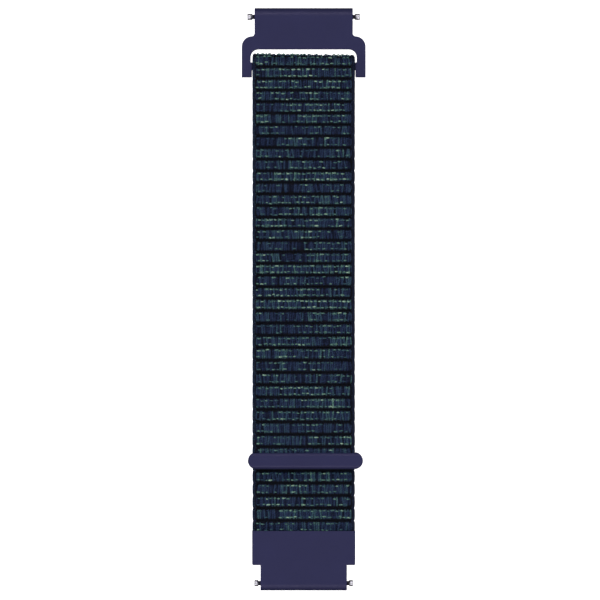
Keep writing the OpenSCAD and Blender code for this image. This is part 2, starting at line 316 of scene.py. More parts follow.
@dataclass(frozen=True)
class MouldedPolymer(Finish):
    """Polycarbonate blend, injection-moulded in a spark-eroded tool.

    The tool leaves a fine even grain, which turns gloss into a soft satin.

    Attributes:
        stops: the pigment's colours, through its faint clouds.
        grain_mm: size of the tool's grain.
        grain_rough: how far the roughness differs over the grain.
        cloud_mm: size of the clouds.
        bump_mm: height of the grain.
        bump_strength: share of that height that shows.
    """

    stops: tuple[tuple[float, str], ...] = ((0.25, "#222345"), (0.5, "#232447"), (0.75, "#242549"))
    grain_mm: float = 0.12  # the tool's grain is 0.03 mm; drawn coarser so that it shows
    grain_rough: float = 0.06
    cloud_mm: float = 6.0
    bump_mm: float = 0.012
    bump_strength: float = 0.5

    def draw(
        self, tree: bpy.types.NodeTree, shader: bpy.types.Node, place: bpy.types.NodeSocket
    ) -> None:
        """Add the grain, and the faint clouding of the pigment.

        Args:
            tree: the material's node tree.
            shader: its Principled node.
            place: where each point is, in metres.
        """
        clouds = {"Vector": place, "Scale": 1 / (self.cloud_mm * MM), "Detail": 4.0}
        cloud = add_node(tree, "ShaderNodeTexNoise", clouds)
        ramp = add_node(tree, "ShaderNodeValToRGB", {"Fac": cloud.outputs["Fac"]})
        tree.links.new(set_ramp(ramp, self.stops), shader.inputs["Base Color"])
        grains = {"Vector": place, "Scale": 1 / (self.grain_mm * MM), "Detail": 2.0}
        grain = add_node(tree, "ShaderNodeTexNoise", grains).outputs["Fac"]
        low, high = self.roughness - self.grain_rough, self.roughness + self.grain_rough
        rough = add_node(
            tree, "ShaderNodeMapRange", {"Value": grain, "To Min": low, "To Max": high}
        )
        tree.links.new(rough.outputs[0], shader.inputs["Roughness"])
        bump = add_node(
            tree,
            "ShaderNodeBump",
            {"Height": grain, "Distance": self.bump_mm * MM, "Strength": self.bump_strength},
        )
        tree.links.new(bump.outputs[0], shader.inputs["Normal"])


@dataclass(frozen=True)
class TurnedSteel(Finish):
    """Stainless steel, turned or drawn: fine marks run round the bar, so its highlight is a streak.

    Attributes:
        colour: the bright steel between the marks.
        dark: the bottom of a mark.
        mark_mm: how far apart the marks are.
        mark_rough: how far the roughness differs over the marks.
        round_share: size across the bar's axis, which makes a dot into a mark round it.
    """

    colour: str = "#c9c9cd"
    dark: str = "#8d8d92"
    mark_mm: float = 0.06  # tool marks are 0.02 mm apart; drawn coarser so that they show
    mark_rough: float = 0.08
    round_share: float = 0.05

    def draw(
        self, tree: bpy.types.NodeTree, shader: bpy.types.Node, place: bpy.types.NodeSocket
    ) -> None:
        """Add the turning marks round the bar's axis, which lies along X.

        Args:
            tree: the material's node tree.
            shader: its Principled node.
            place: where each point is, in metres.
        """
        stretch = (1.0, self.round_share, self.round_share)
        drawn = add_node(tree, "ShaderNodeMapping", {"Vector": place, "Scale": stretch}).outputs[0]
        lines = {"Vector": drawn, "Scale": 1 / (self.mark_mm * MM), "Detail": 2.0}
        marks = add_node(tree, "ShaderNodeTexNoise", lines).outputs["Fac"]
        ramp = add_node(tree, "ShaderNodeValToRGB", {"Fac": marks})
        stops = ((0.3, self.dark), (0.6, self.colour))
        tree.links.new(set_ramp(ramp, stops), shader.inputs["Base Color"])
        low, high = self.roughness - self.mark_rough, self.roughness + self.mark_rough
        rough = add_node(
            tree, "ShaderNodeMapRange", {"Value": marks, "To Min": low, "To Max": high}
        )
        tree.links.new(rough.outputs[0], shader.inputs["Roughness"])


YARN = WovenNylon("nylon_yarn_woven", "woven_nylon", roughness=0.68, ior=1.53)
HOOKS = WovenNylon(
    "nylon_hooks_cut",
    "hook_tape",
    roughness=0.5,
    ior=1.53,
    tones=((0.0, "#101114"), (0.5, "#1c1e26"), (1.0, "#343844")),
)
POLYMER = MouldedPolymer("polycarbonate_moulded_satin", "moulded_polymer", roughness=0.5, ior=1.58)
PIN_STEEL = TurnedSteel("stainless_steel_turned", "pin_steel", roughness=0.28, metallic=1.0)
TUBE_STEEL = TurnedSteel(
    "stainless_steel_drawn", "pin_steel", roughness=0.34, metallic=1.0, colour="#bdbdc2"
)
SPRING_STEEL = TurnedSteel(
    "spring_steel_wire", "spring_wire", roughness=0.3, metallic=1.0, colour="#a8a9ad"
)


class Wardrobe:
    """Makes each finish's material once, and puts it on pieces."""

    def __init__(self) -> None:
        """Start with no material made."""
        self.made: dict[str, bpy.types.Material] = {}

    def dress(self, piece: bpy.types.Object, finish: Finish) -> None:
        """Put a finish on every material slot of a piece.

        Args:
            piece: the mesh object.
            finish: what it is made of.
        """
        if finish.name not in self.made:
            self.made[finish.name] = finish.make()
        if not piece.material_slots:
            piece.data.materials.append(self.made[finish.name])
        for slot in piece.material_slots:
            slot.material = self.made[finish.name]


# ---------------------------------------------------------------------------
# Meshes
# ---------------------------------------------------------------------------


@dataclass
class Threads:
    """Many closed tubes of one kind.

    Attributes:
        count: how many tubes.
        rings: rings of points along each.
        sides: points in a ring.
        GAP: what is left free between unrolled tubes, in faces.
    """

    count: int
    rings: int
    sides: int

    GAP = 0.5

    def faces(self) -> list[np.ndarray]:
        """Number the corners of every face.

        Returns:
            The walls, and the two caps of each tube.
        """
        ring = np.arange(self.sides)
        after = (ring + 1) % self.sides
        along = (np.arange(self.rings - 1) * self.sides)[:, None]
        wall = [along + after, along + self.sides + after, along + self.sides + ring, along + ring]
        first = (np.arange(self.count) * self.rings * self.sides)[:, None]
        walls = (first[:, :, None] + np.stack(wall, -1).reshape(1, -1, 4)).reshape(-1, 4)
        last = first + (self.rings - 1) * self.sides
        return [walls, first + ring[::-1], last + ring]

    def size(self) -> tuple[float, float]:
        """Give the width and height of one unrolled tube, in faces."""
        return self.sides + self.GAP, self.rings + 1 + self.GAP

    def height(self, width: float) -> float:
        """Give the height of all the tubes, unrolled side by side in rows of a given width."""
        wide, high = self.size()
        return math.ceil(self.count / int(width / wide)) * high

    def unrolled(self, width: float, base: float) -> list[np.ndarray]:
        """Lay every tube out flat, for the maps that an export bakes.

        Args:
            width: the row's width, in faces.
            base: where the first row starts.

        Returns:
            A place for each corner of each face, in the order of faces().
        """
        wide, high = self.size()
        columns = int(width / wide)
        tube = np.arange(self.count)
        corner = np.stack([tube % columns * wide, base + tube // columns * high], -1)
        i, j = np.meshgrid(np.arange(self.rings - 1), np.arange(self.sides), indexing="ij")
        across = np.stack([j + 1, j + 1, j, j], -1)
        along = np.stack([i, i + 1, i + 1, i], -1) + 1
        wall = np.stack([across, along], -1).reshape(-1, 4, 2)
        walls = (corner[:, None, None] + wall).reshape(-1, 4, 2)
        turn = np.arange(self.sides) * 2 * math.pi / self.sides
        cap = np.stack([(1 + np.cos(turn)) * self.sides / 2, (1 + np.sin(turn)) / 2], -1)
        end = cap + (0, self.rings)
        return [walls, corner[:, None] + cap[::-1], corner[:, None] + end]


@dataclass
class TubeMesh:
    """Closed tubes that are gathered up, with their yarn's tone and twist, and made into one mesh.

    Attributes:
        points: places of each kind of tube's points, in millimetres.
        tones: the yarn's tone at each.
        twists: turns of the yarn at each.
        threads: the kinds of tube.
    """

    points: list[np.ndarray] = field(default_factory=list)
    tones: list[np.ndarray] = field(default_factory=list)
    twists: list[np.ndarray] = field(default_factory=list)
    threads: list[Threads] = field(default_factory=list)

    def add(
        self, points: np.ndarray, tones: np.ndarray, twists: np.ndarray | float = 0.0
    ) -> None:
        """Add many tubes of one kind.

        Args:
            points: places in millimetres, by tube, ring and side.
            tones: the yarn's tone at each point, or values that broadcast to that.
            twists: turns of the yarn at each point, alike.
        """
        shape = points.shape[:3]
        self.threads.append(Threads(*shape))
        self.points.append(points.reshape(-1, 3))
        self.tones.append(np.broadcast_to(tones, shape).ravel())
        self.twists.append(np.broadcast_to(twists, shape).ravel())

    def make(self, name: str) -> bpy.types.Object:
        """Make the mesh object.

        Args:
            name: the piece's name.

        Returns:
            The object, smooth shaded, with its yarn's tone and twist and an unrolled map.
        """
        faces, places = [], []
        widest = max(t.size()[0] for t in self.threads)
        area = sum(t.count * t.size()[0] * t.size()[1] for t in self.threads)
        width = max(widest, math.sqrt(area))
        base, first = 0.0, 0
        for group in self.threads:
            faces += [f + first for f in group.faces()]
            places += group.unrolled(width, base)
            base += group.height(width)
            first += group.count * group.rings * group.sides
        corners = np.concatenate([f.ravel() for f in faces]).astype(np.int32)
        sizes = np.concatenate([np.full(len(f), f.shape[1]) for f in faces])
        starts = np.concatenate([[0], np.cumsum(sizes)[:-1]]).astype(np.int32)
        mesh = bpy.data.meshes.new(name)
        mesh.vertices.add(first)
        solid = np.concatenate(self.points) * MM
        mesh.vertices.foreach_set("co", solid.astype(np.float32).ravel())
        mesh.loops.add(len(corners))
        mesh.loops.foreach_set("vertex_index", corners)
        mesh.polygons.add(len(sizes))
        mesh.polygons.foreach_set("loop_start", starts)
        mesh.polygons.foreach_set("use_smooth", np.ones(len(sizes), bool))
        mesh.update(calc_edges=True)
        flat = np.concatenate([p.reshape(-1, 2) for p in places]) / (width, base)
        mesh.uv_layers.new(name=BAKE_MAP).uv.foreach_set("vector", flat.astype(np.float32).ravel())
        for attribute, values in ((YARN_TONE, self.tones), (YARN_TWIST, self.twists)):
            layer = mesh.attributes.new(attribute, "FLOAT", "POINT")
            layer.data.foreach_set("value", np.concatenate(values).astype(np.float32))
        piece = bpy.data.objects.new(name, mesh)
        bpy.context.scene.collection.objects.link(piece)
        return piece


def sweep(line: np.ndarray, out: np.ndarray, r: np.ndarray, sides: int) -> np.ndarray:
    """Put a round section along many lines.

    Args:
        line: places, by tube and ring.
        out: a direction away from the cloth at each ring, which the tubes' seams turn away from.
        r: radius at each ring.
        sides: points round each section.

    Returns:
        Points by tube, ring and side.
    """
    run = np.gradient(line, axis=1)
    run /= np.linalg.norm(run, axis=-1, keepdims=True)
    beside = np.cross(run, out)
    beside /= np.linalg.norm(beside, axis=-1, keepdims=True)
    up = np.cross(beside, run)
    turn = -math.pi / 2 + (np.arange(sides) + 0.5) * 2 * math.pi / sides
    beside, up = beside[..., None, :], up[..., None, :]
    ring = beside * np.cos(turn)[:, None] + up * np.sin(turn)[:, None]
    return line[..., None, :] + ring * r[..., None, None]


# ---------------------------------------------------------------------------
# The strap
# ---------------------------------------------------------------------------


class StrapRoute:
    """The strap's middle line in the Y-Z plane, walked from the fixed connector round to the tip.

    Attributes:
        half_t: half of the strap's thickness.
        half_w: half of its width.
        fold_r: radius of the half turn over the crossbar.
        fold_y: where the half turn has its centre.
        fold_z: how high that is.
        fold_start: distance along the cloth at which the half turn starts.
        line: Y and Z of each point of the line.
        walked: distance along the cloth to each point.
        slope: the line's direction at each point.
        length: the whole length of the cloth outside the fixed connector.
        STEP: distance between points of the line.
        TURN_STEP_DEG: angle between them in the half turn.
        TUCK: how much cloth hides in the fixed connector's mouth.
        FOLD_SKEW: how much further the fold reaches at its left edge than at its right.
    """

    STEP = 0.1
    TURN_STEP_DEG = 2.0
    TUCK = 0.5
    FOLD_SKEW = 0.3

    def __init__(self) -> None:
        """Read the strap's places from the CAD nodes, and lay the line."""
        base_low, base_high = box_mm("strap_base_5")
        fold_low, fold_high = box_mm("strap_fold")
        top_low, top_high = box_mm("strap_top_5")
        tip_low, tip_high = box_mm("strap_tip_c")
        tab_low, tab_high = box_mm("strap_end_tab")
        self.half_t = (base_high.z - base_low.z) / 2
        self.half_w = (base_high.x - base_low.x) / 2
        start_y = box_mm("fixed_connector_front")[1].y - self.TUCK
        fold_out = (fold_high.z - fold_low.z) / 2
        self.fold_r = fold_out - self.half_t
        self.fold_y = fold_high.y - fold_out
        self.fold_z = (fold_high.z + fold_low.z) / 2
        base_z = (base_high.z + base_low.z) / 2
        tab_z = (tab_high.z + tab_low.z) / 2
        top_z = (top_high.z + top_low.z) / 2
        tip_z = (tip_high.z + tip_low.z) / 2
        settle_y = joint_mm("curl_at_joint_1").y
        drop_y = joint_mm("curl_at_joint_7").y
        lift_y = joint_mm("tip_peel").y
        lifted_y = joint_mm("tip_curl_at_joint_3").y

        out = np.arange(start_y, self.fold_y, self.STEP)
        sag = smooth((out - start_y) / (settle_y - start_y))
        base = np.stack([out, tab_z + (base_z - tab_z) * sag], 1)
        turn = np.radians(np.arange(-90, 90, self.TURN_STEP_DEG))
        bend_y = self.fold_y + self.fold_r * np.cos(turn)
        bend = np.stack([bend_y, self.fold_z + self.fold_r * np.sin(turn)], 1)
        back = np.append(np.arange(self.fold_y, tip_low.y, -self.STEP), tip_low.y)
        fall = smooth((self.fold_y - back) / (self.fold_y - drop_y))
        lift = smooth((lift_y - back) / (lift_y - lifted_y))
        high = self.fold_z + self.fold_r
        top = np.stack([back, high + (top_z - high) * fall + (tip_z - top_z) * lift], 1)

        self.line = np.concatenate([base, bend, top])
        steps = np.linalg.norm(np.diff(self.line, axis=0), axis=1)
        self.walked = np.concatenate([[0.0], np.cumsum(steps)])
        slope = np.gradient(self.line, self.walked, axis=0)
        self.slope = slope / np.linalg.norm(slope, axis=1, keepdims=True)
        self.fold_start = float(self.walked[len(base)])
        self.length = float(self.walked[-1])

    def lower(self, y: float) -> float:
        """Give the distance along the cloth of a place on the lower layer."""
        return float(np.interp(y, self.line[:, 0][: self._turn()], self.walked[: self._turn()]))

    def upper(self, y: float) -> float:
        """Give the distance along the cloth of a place on the upper layer."""
        after = self._turn()
        return float(np.interp(-y, -self.line[:, 0][after:], self.walked[after:]))

    def _turn(self) -> int:
        """Number of the line's point that reaches furthest along Y."""
        return int(np.argmax(self.line[:, 0]))

    def place(self, x: np.ndarray, s: np.ndarray, h: np.ndarray) -> np.ndarray:
        """Put points of the flat cloth where they lie in space.

        Args:
            x: places across the band.
            s: distances along the cloth.
            h: heights above the cloth's middle, positive on the side that faces out after the fold.

        Returns:
            X, Y and Z of each point, in the last axis.
        """
        y, z = (np.interp(s, self.walked, self.line[:, i]) for i in (0, 1))
        dy, dz = (np.interp(s, self.walked, self.slope[:, i]) for i in (0, 1))
        skew = self.FOLD_SKEW * smooth((y - self.fold_y) / self.fold_r) * (1 - x / self.half_w) / 2
        return np.stack([x, y + skew + h * dz, z - h * dy], -1)


class Face(Enum):
    """The two sides of the cloth. Its value is the sign of the height above the middle."""

    OUTER = 1
    INNER = -1


@dataclass(frozen=True)
class UprightThreads:
    """A rib's own threads, which stand side by side from groove to groove.

    Attributes:
        pitch: distance between them.
        r: radius.
        thickness: lowest and highest share of that radius, thread by thread.
        span: share of the rib's width that they reach over.
        below: how far their crests lie below the cloth's face.
        rings: rings of points along each.
        sides: points round each.
        shift: how far one stands from its place.
        lean: how far its ends lean.
        lean_turn: how sharply they lean, in radians from the middle to an end.
        bow: how far its middle bows.
        drop: how far its ends drop into the grooves.
        drop_power: how late along it the drop comes.
        end_power: how late along it the ends grow thin and painted dark.
        end_thin: how much of its radius an end loses.
        end_shade: painted shade: how much of its tone an end loses, down in the groove.
        tone: middle and spread of its yarn.
        sunk_share: share of the threads that lie deeper, behind the others.
        sunk_by: how much deeper.
        sunk_shade_factor: painted shade on a sunk thread: the share of its tone that it keeps.
    """

    pitch: float = 0.4
    r: float = 0.22
    thickness: tuple[float, float] = (0.85, 1.1)
    span: float = 0.9
    below: float = 0.1
    rings: int = 9
    sides: int = 6
    shift: float = 0.05
    lean: float = 0.08
    lean_turn: float = 1.6
    bow: float = 0.05
    drop: float = 0.5
    drop_power: int = 3
    end_power: int = 6
    end_thin: float = 0.35
    end_shade: float = 0.4
    tone: tuple[float, float] = (0.375, 0.09)
    sunk_share: float = 0.16
    sunk_by: float = 0.2
    sunk_shade_factor: float = 0.55


@dataclass(frozen=True)
class YarnDrift:
    """The drift between navy and grey-green yarn, which shows towards a rib's margins.

    Attributes:
        patch_len: how long a patch is, across the band.
        level: middle and spread of how light a patch is, from 0 to 1.
        rib_level: how far whole ribs differ.
        thread_light: lowest and highest share of its patch's light that one thread shows.
        margin_from: share of the way to the groove at which the light begins to show.
        margin_over: over what share it comes in.
        margin_tone: what the margin gains in the darkest patch.
        margin_light: what it gains more in the lightest.
    """

    patch_len: float = 2.4
    level: tuple[float, float] = (0.5, 0.3)
    rib_level: float = 0.16
    thread_light: tuple[float, float] = (0.5, 1.2)
    margin_from: float = 0.15
    margin_over: float = 0.4
    margin_tone: float = 0.03
    margin_light: float = 0.27


@dataclass(frozen=True)
class GroundThreads:
    """The dark threads that fill a rib under its upright ones.

    Attributes:
        pitch: distance between them.
        r: radius.
        below: how far their crests lie below the cloth's face.
        span: share of the rib's width that they reach over.
        rings: rings of points along each.
        sides: points round each.
        wander: how far one stands from its place, and how far it leans.
        drop: how far its ends drop.
        power: how late along it the drop and the painted shade come.
        tone: middle and spread of its yarn.
        shade: painted shade: how much of its tone an end loses, down towards the grooves.
    """

    pitch: float = 0.32
    r: float = 0.2
    below: float = 0.24
    span: float = 0.92
    rings: int = 5
    sides: int = 4
    wander: float = 0.06
    drop: float = 0.26
    power: int = 4
    tone: tuple[float, float] = (0.25, 0.06)
    shade: float = 0.2


@dataclass(frozen=True)
class Weft:
    """The two threads that run across the band in each groove.

    Attributes:
        r: radius.
        below: how far they lie below the cloth's face.
        at: how far each lies from the groove's middle.
        rings: rings of points along each.
        sides: points round each.
        sway: how far one sways towards the groove.
        sway_per_mm: how fast it sways.
        wave: how far it rises and falls.
        wave_mm: length of one rise and fall.
        tone: its yarn, near black: painted shade of the groove that it lies in.
    """

    r: float = 0.13
    below: float = 0.58
    at: float = 0.16
    rings: int = 36
    sides: int = 4
    sway: float = 0.03
    sway_per_mm: float = 4.0
    wave: float = 0.05
    wave_mm: float = 1.1
    tone: float = 0.03


@dataclass(frozen=True)
class MarginStitches:
    """The short stitches that run across the band along a rib's two margins.

    Attributes:
        r: radius.
        thickness: lowest and highest share of that radius, stitch by stitch.
        taper: how much of its radius an end loses.
        at: share of the way from the rib's middle to its groove at which a row lies.
        inset: how far from the selvedge a row stops.
        first: lowest and highest gap before the first stitch.
        lengths: lowest and highest length of a stitch.
        gaps: lowest and highest gap after it.
        kept: share of the stitches that show where the yarn is dark.
        kept_light: how many more show where it is light.
        dive: how far its ends dive into the cloth.
        shift: how far it lies from its row.
        slant: how far it slants.
        rings: rings of points along each.
        sides: points round each.
        tone: middle and spread of its yarn.
        light: what its tone gains where the yarn is light.
        end_shade: painted shade: how much of its tone an end loses, where it dives into the cloth.
    """

    r: float = 0.15
    thickness: tuple[float, float] = (0.8, 1.15)
    taper: float = 0.25
    at: float = 0.5
    inset: float = 0.1
    first: tuple[float, float] = (0.0, 0.5)
    lengths: tuple[float, float] = (0.4, 0.95)
    gaps: tuple[float, float] = (0.05, 0.35)
    kept: float = 0.45
    kept_light: float = 0.55
    dive: float = 0.4
    shift: float = 0.07
    slant: float = 0.05
    rings: int = 6
    sides: int = 5
    tone: tuple[float, float] = (0.58, 0.1)
    light: float = 0.27
    end_shade: float = 0.15


@dataclass(frozen=True)
class Selvedge:
    """The bound edges of the cloth: binding threads that wrap round each, drawn in at the grooves.

    Attributes:
        width: how far in from the edge the binding reaches.
        notch: how far the edge is drawn in at a groove.
        notch_reach: how far along the cloth that is felt.
        pitch: distance between the binding threads.
        r: radius.
        thickness: lowest and highest share of that radius, thread by thread.
        inset: how far from a piece's end its first thread lies.
        wrap_deg: how far up and down the edge a thread wraps.
        depth: how far in its ends reach.
        wave: lowest and highest share of that depth.
        shift: how far one lies from its place along the cloth.
        slant: how far it slants.
        thin: how much of its radius an end loses.
        thin_power: how late along it that comes.
        rings: rings of points along each.
        sides: points round each.
        left_tone_lit: the yarn at the left edge, painted lighter as the lit side.
        right_tone_shaded: the yarn at the right edge, painted darker as the shaded side.
        tone_spread: how far threads differ.
    """

    width: float = 0.6
    notch: float = 0.14
    notch_reach: float = 0.35
    pitch: float = 0.33
    r: float = 0.2
    thickness: tuple[float, float] = (0.85, 1.1)
    inset: float = 0.16
    wrap_deg: float = 84.0
    depth: float = 0.45
    wave: tuple[float, float] = (0.9, 1.1)
    shift: float = 0.03
    slant: float = 0.08
    thin: float = 0.4
    thin_power: int = 8
    rings: int = 7
    sides: int = 5
    left_tone_lit: float = 0.5
    right_tone_shaded: float = 0.32
    tone_spread: float = 0.05


@dataclass(frozen=True)
class ClosedGround:
    """The closed cloth inside, which the threads stand on. A bare face carries no threads.

    Attributes:
        shares: where its sections lie, as shares of a rib.
        dip_power: how sharply it dips into a groove.
        bead: distance between the two outermost points of a face.
        edge_deg: angles of the points round its edge.
        sink: how deep it lies under a face with threads.
        groove: how much deeper at a groove.
        tone: its yarn, near black: painted shade in the grooves and under the threads.
        edge_sink: how deep it lies at the edge.
        edge_tone: its yarn at the edge.
        bare_sink: how deep a bare face lies.
        bare_groove: how much deeper at a groove.
        bare_tone: what a bare face's ribs gain, so that its grooves stay near black as painted shade.
    """

    shares: tuple[float, ...] = (0.0, 0.08, 0.2, 0.38, 0.62, 0.8, 0.92)
    dip_power: int = 5
    bead: float = 0.3
    edge_deg: tuple[int, ...] = (66, 40, 0, -40, -66)
    sink: float = 0.36
    groove: float = 0.3
    tone: float = 0.01
    edge_sink: float = 0.1
    edge_tone: float = 0.2
    bare_sink: float = 0.06
    bare_groove: float = 0.12
    bare_tone: float = 0.1


@dataclass(frozen=True)
class Weave:
    """Sizes of the weave: cross ribs of upright threads, with stitches along both their margins.

    Attributes:
        base_pitch: width of a rib on the lower layer.
        tail_pitch: width of one on the upper layer.
        tip_pitch: width of one near the tip.
        base_groove_y: where one groove of the lower layer lies.
        first_tail_groove_y: where the first groove after the fold lies.
        first_tip_groove_y: where the first groove of the tip lies.
        shortest_rib: the least that is left for the last rib.
        twist_mm: length of one turn of a thread's twist.
        upright: a rib's own threads.
        drift: their drift between dark and light.
        ground: the dark threads under them.
        weft: the threads in the grooves.
        stitches: the stitches along the margins.
        selvedge: the bound edges.
        core: the closed cloth inside.
    """

    base_pitch: float = 2.55
    tail_pitch: float = 2.33
    tip_pitch: float = 2.52
    base_groove_y: float = -34.9
    first_tail_groove_y: float = 47.27
    first_tip_groove_y: float = 0.22
    shortest_rib: float = 0.4
    twist_mm: float = 0.9
    upright: UprightThreads = UprightThreads()
    drift: YarnDrift = YarnDrift()
    ground: GroundThreads = GroundThreads()
    weft: Weft = Weft()
    stitches: MarginStitches = MarginStitches()
    selvedge: Selvedge = Selvedge()
    core: ClosedGround = ClosedGround()

    def grooves(self, route: StrapRoute) -> np.ndarray:
        """Place every groove between two ribs along the cloth.

        Args:
            route: the strap's line.

        Returns:
            Distances along the cloth, from the mouth to the tip.
        """
        anchor = route.lower(self.base_groove_y)
        before = np.arange(anchor, self.base_pitch / 4, -self.base_pitch)[::-1]
        lower = np.arange(anchor + self.base_pitch, route.fold_start, self.base_pitch)
        first = route.upper(self.first_tail_groove_y)
        ribs = round((first - lower[-1]) / self.tail_pitch)
        round_fold = np.linspace(lower[-1], first, ribs + 1)[1:]
        change = route.upper(self.first_tip_groove_y)
        ribs = round((change - first) / self.tail_pitch)
        tail = np.linspace(first, change, ribs + 1)[1:-1]
        tip = np.arange(change, route.length - self.shortest_rib, self.tip_pitch)
        return np.concatenate([[0.0], before, lower, round_fold, tail, tip, [route.length]])


@dataclass(frozen=True)
class Crossing:
    """One joint that cloth crosses, and how far from it the cloth bends.

    Attributes:
        name: the piece's name.
        before: body that carries the cloth before the joint, walking from the connector to the tip;
            not used.
        after: body that carries it after the joint; not used.
        joint: the joint's name.
        node: CAD node that the piece stands for.
        reach: how far the bend reaches before and after the joint, along Y.
    """

    name: str
    before: str
    after: str
    joint: str
    node: str
    reach: tuple[float, float] = (5.4, 5.4)

    def bend(self, piece: bpy.types.Object, heading: int) -> None:
        """Fix a piece's place into its mesh, and stand for its CAD node.

        Args:
            piece: the finished mesh object.
            heading: not used.
        """
        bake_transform(piece)
        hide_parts(self.node)


class WovenStrap:
    """The one woven strip, cut at its grooves into pieces, one for each joint that it crosses.

    Attributes:
        LAST_JOINT: number of the curl joint nearest to the loop.
        LEADER: number of the curl joint that the others follow.
        LOWER_REACH: how far the bend of the lower layer reaches, where it isn't the usual.
        UPPER_REACH: the same for the upper layer.
        SEED: start of the weave's random numbers.
    """

    LAST_JOINT = 7
    LEADER = 5
    LOWER_REACH = {
        1: (5.4, 2.5),  # stays flat under the tip bar
        3: (4.5, 4.5),  # bends with the tail's hooked part above it
    }
    UPPER_REACH = {4: (3.0, 3.0)}  # leaves room for the peeling tip's own bend
    SEED = 20

    def __init__(self, wardrobe: Wardrobe) -> None:
        """Lay the route and the grooves.

        Args:
            wardrobe: where the finishes come from.
        """
        self.wardrobe = wardrobe
        self.route = StrapRoute()
        self.weave = Weave()
        self.grooves = self.weave.grooves(self.route)
        self.inner = self.route.half_w - self.weave.selvedge.width
        self.random = np.random.default_rng(self.SEED)

    def crossing(
        self, name: str, k: int, bodies: tuple[str, str], node: str, reaches: dict[int, tuple]
    ) -> Crossing:
        """Describe the crossing of one numbered curl joint.

        Args:
            name: the piece's name.
            k: the joint's number.
            bodies: the bodies before and after it.
            node: CAD node that the piece stands for.
            reaches: how far the bend reaches at joints that aren't the usual.

        Returns:
            The crossing.
        """
        joint = "wrist_curl" if k == self.LEADER else f"curl_at_joint_{k}"
        if k in reaches:
            return Crossing(name, *bodies, joint, node, reaches[k])
        return Crossing(name, *bodies, joint, node)

    def carrier(self, k: int) -> str:
        """Name the body of one numbered section; the one after the last joint is the loop's end."""
        return f"strap_{k}" if k <= self.LAST_JOINT else "strap_loop_end"

    def lower_crossings(self) -> list[Crossing]:
        """List the joints of the lower layer, from the fixed connector to the loop.

        Returns:
            The crossings in order along the cloth.
        """
        mouth = ("strap_base_at_mouth", "fixed_connector", "strap_1", "curl_at_mouth")
        found = [Crossing(*mouth, "strap_base_1", (0.0, 4.5))]
        for k in range(1, self.LAST_JOINT + 1):
            bodies = self.carrier(k), self.carrier(k + 1)
            node = f"strap_base_{min(k + 1, self.LAST_JOINT)}"
            found.append(self.crossing(f"strap_base_bend_{k}", k, bodies, node, self.LOWER_REACH))
        return found

    def upper_crossings(self) -> list[Crossing]:
        """List the joints of the upper layer, from the loop to the tip.

        Returns:
            The crossings in order along the cloth.
        """
        found = []
        for k in range(self.LAST_JOINT, 3, -1):
            bodies = self.carrier(k + 1), self.carrier(k)
            node = f"strap_top_{k}"
            found.append(self.crossing(f"strap_tail_bend_{k}", k, bodies, node, self.UPPER_REACH))
        joint_3, joint_2 = "tip_curl_at_joint_3", "tip_curl_at_joint_2"
        return [
            *found,
            Crossing("strap_tip_lift", "strap_4", "tip_a", "tip_peel", "strap_tip_a", (1.2, 3.0)),
            Crossing("strap_tip_bend_3", "tip_a", "tip_b", joint_3, "strap_tip_b", (2.3, 4.5)),
            Crossing("strap_tip_bend_2", "tip_b", "tip_c", joint_2, "strap_tip_c"),
        ]

    def nearest_groove(self, s: float) -> int:
        """Give the number of the groove nearest to a distance along the cloth."""
        return int(np.argmin(np.abs(self.grooves - s)))

    def cuts(
        self, crossings: list[Crossing], walk: Callable[[float], float], heading: int
    ) -> list[int]:
        """Choose the groove between each two crossings, in the middle of what stays straight.

        Args:
            crossings: the crossings in order.
            walk: turns a place along Y into a distance along the cloth.
            heading: 1 where the cloth runs to +Y, -1 where it runs back.

        Returns:
            Groove numbers, one fewer than the crossings.
        """
        found = []
        for one, two in zip(crossings, crossings[1:]):
            end = joint_mm(one.joint).y + heading * one.reach[1]
            start = joint_mm(two.joint).y - heading * two.reach[0]
            found.append(self.nearest_groove(walk((end + start) / 2)))
        return found

    def build(self) -> None:
        """Weave every piece of the strap; the fold rides on the loop's end, and each other piece
        stands for its CAD node.
        """
        log.info("strap: %.1f mm of cloth outside the connector", self.route.length)
        lower, upper = self.lower_crossings(), self.upper_crossings()
        loop_y = (joint_mm(f"curl_at_joint_{self.LAST_JOINT}").y + self.route.fold_y) / 2
        low_cuts = [0, *self.cuts(lower, self.route.lower, 1)]
        low_cuts.append(self.nearest_groove(self.route.lower(loop_y)))
        high_cuts = [
            self.nearest_groove(self.route.upper(loop_y)),
            *self.cuts(upper, self.route.upper, -1),
            len(self.grooves) - 1,
        ]
        peel_y = joint_mm("tip_peel").y
        for k, crossing in enumerate(lower):
            seen = [Face.OUTER]
            if joint_mm(crossing.joint).y < peel_y:
                seen.append(Face.INNER)  # what the tail leaves bare, or bares when it is peeled
            crossing.bend(self.piece(crossing.name, low_cuts[k], low_cuts[k + 1], seen), 1)
        fold = self.piece("strap_fold_over", low_cuts[-1], high_cuts[0], [Face.OUTER])
        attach(fold, "strap_loop_end")
        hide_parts("strap_fold")
        for k, crossing in enumerate(upper):
            seen = [Face.OUTER]
            if crossing.name == "strap_tip_lift":
                seen.append(Face.INNER)
            crossing.bend(self.piece(crossing.name, high_cuts[k], high_cuts[k + 1], seen), -1)

    def piece(self, name: str, first: int, last: int, seen: list[Face]) -> bpy.types.Object:
        """Weave one piece between two grooves.

        Args:
            name: the piece's name.
            first: number of its first groove.
            last: number of its last groove.
            seen: the faces that carry the full weave.

        Returns:
            The dressed mesh object.
        """
        cloth = TubeMesh()
        edges = self.grooves[first : last + 1]
        self.weave_core(cloth, edges, seen)
        for face in seen:
            self.weave_ribs(cloth, edges, face)
        self.wrap_selvedges(cloth, edges)
        made = cloth.make(name)
        self.wardrobe.dress(made, YARN)
        log.info("%s: %d ribs, %d faces", name, last - first, len(made.data.polygons))
        return made

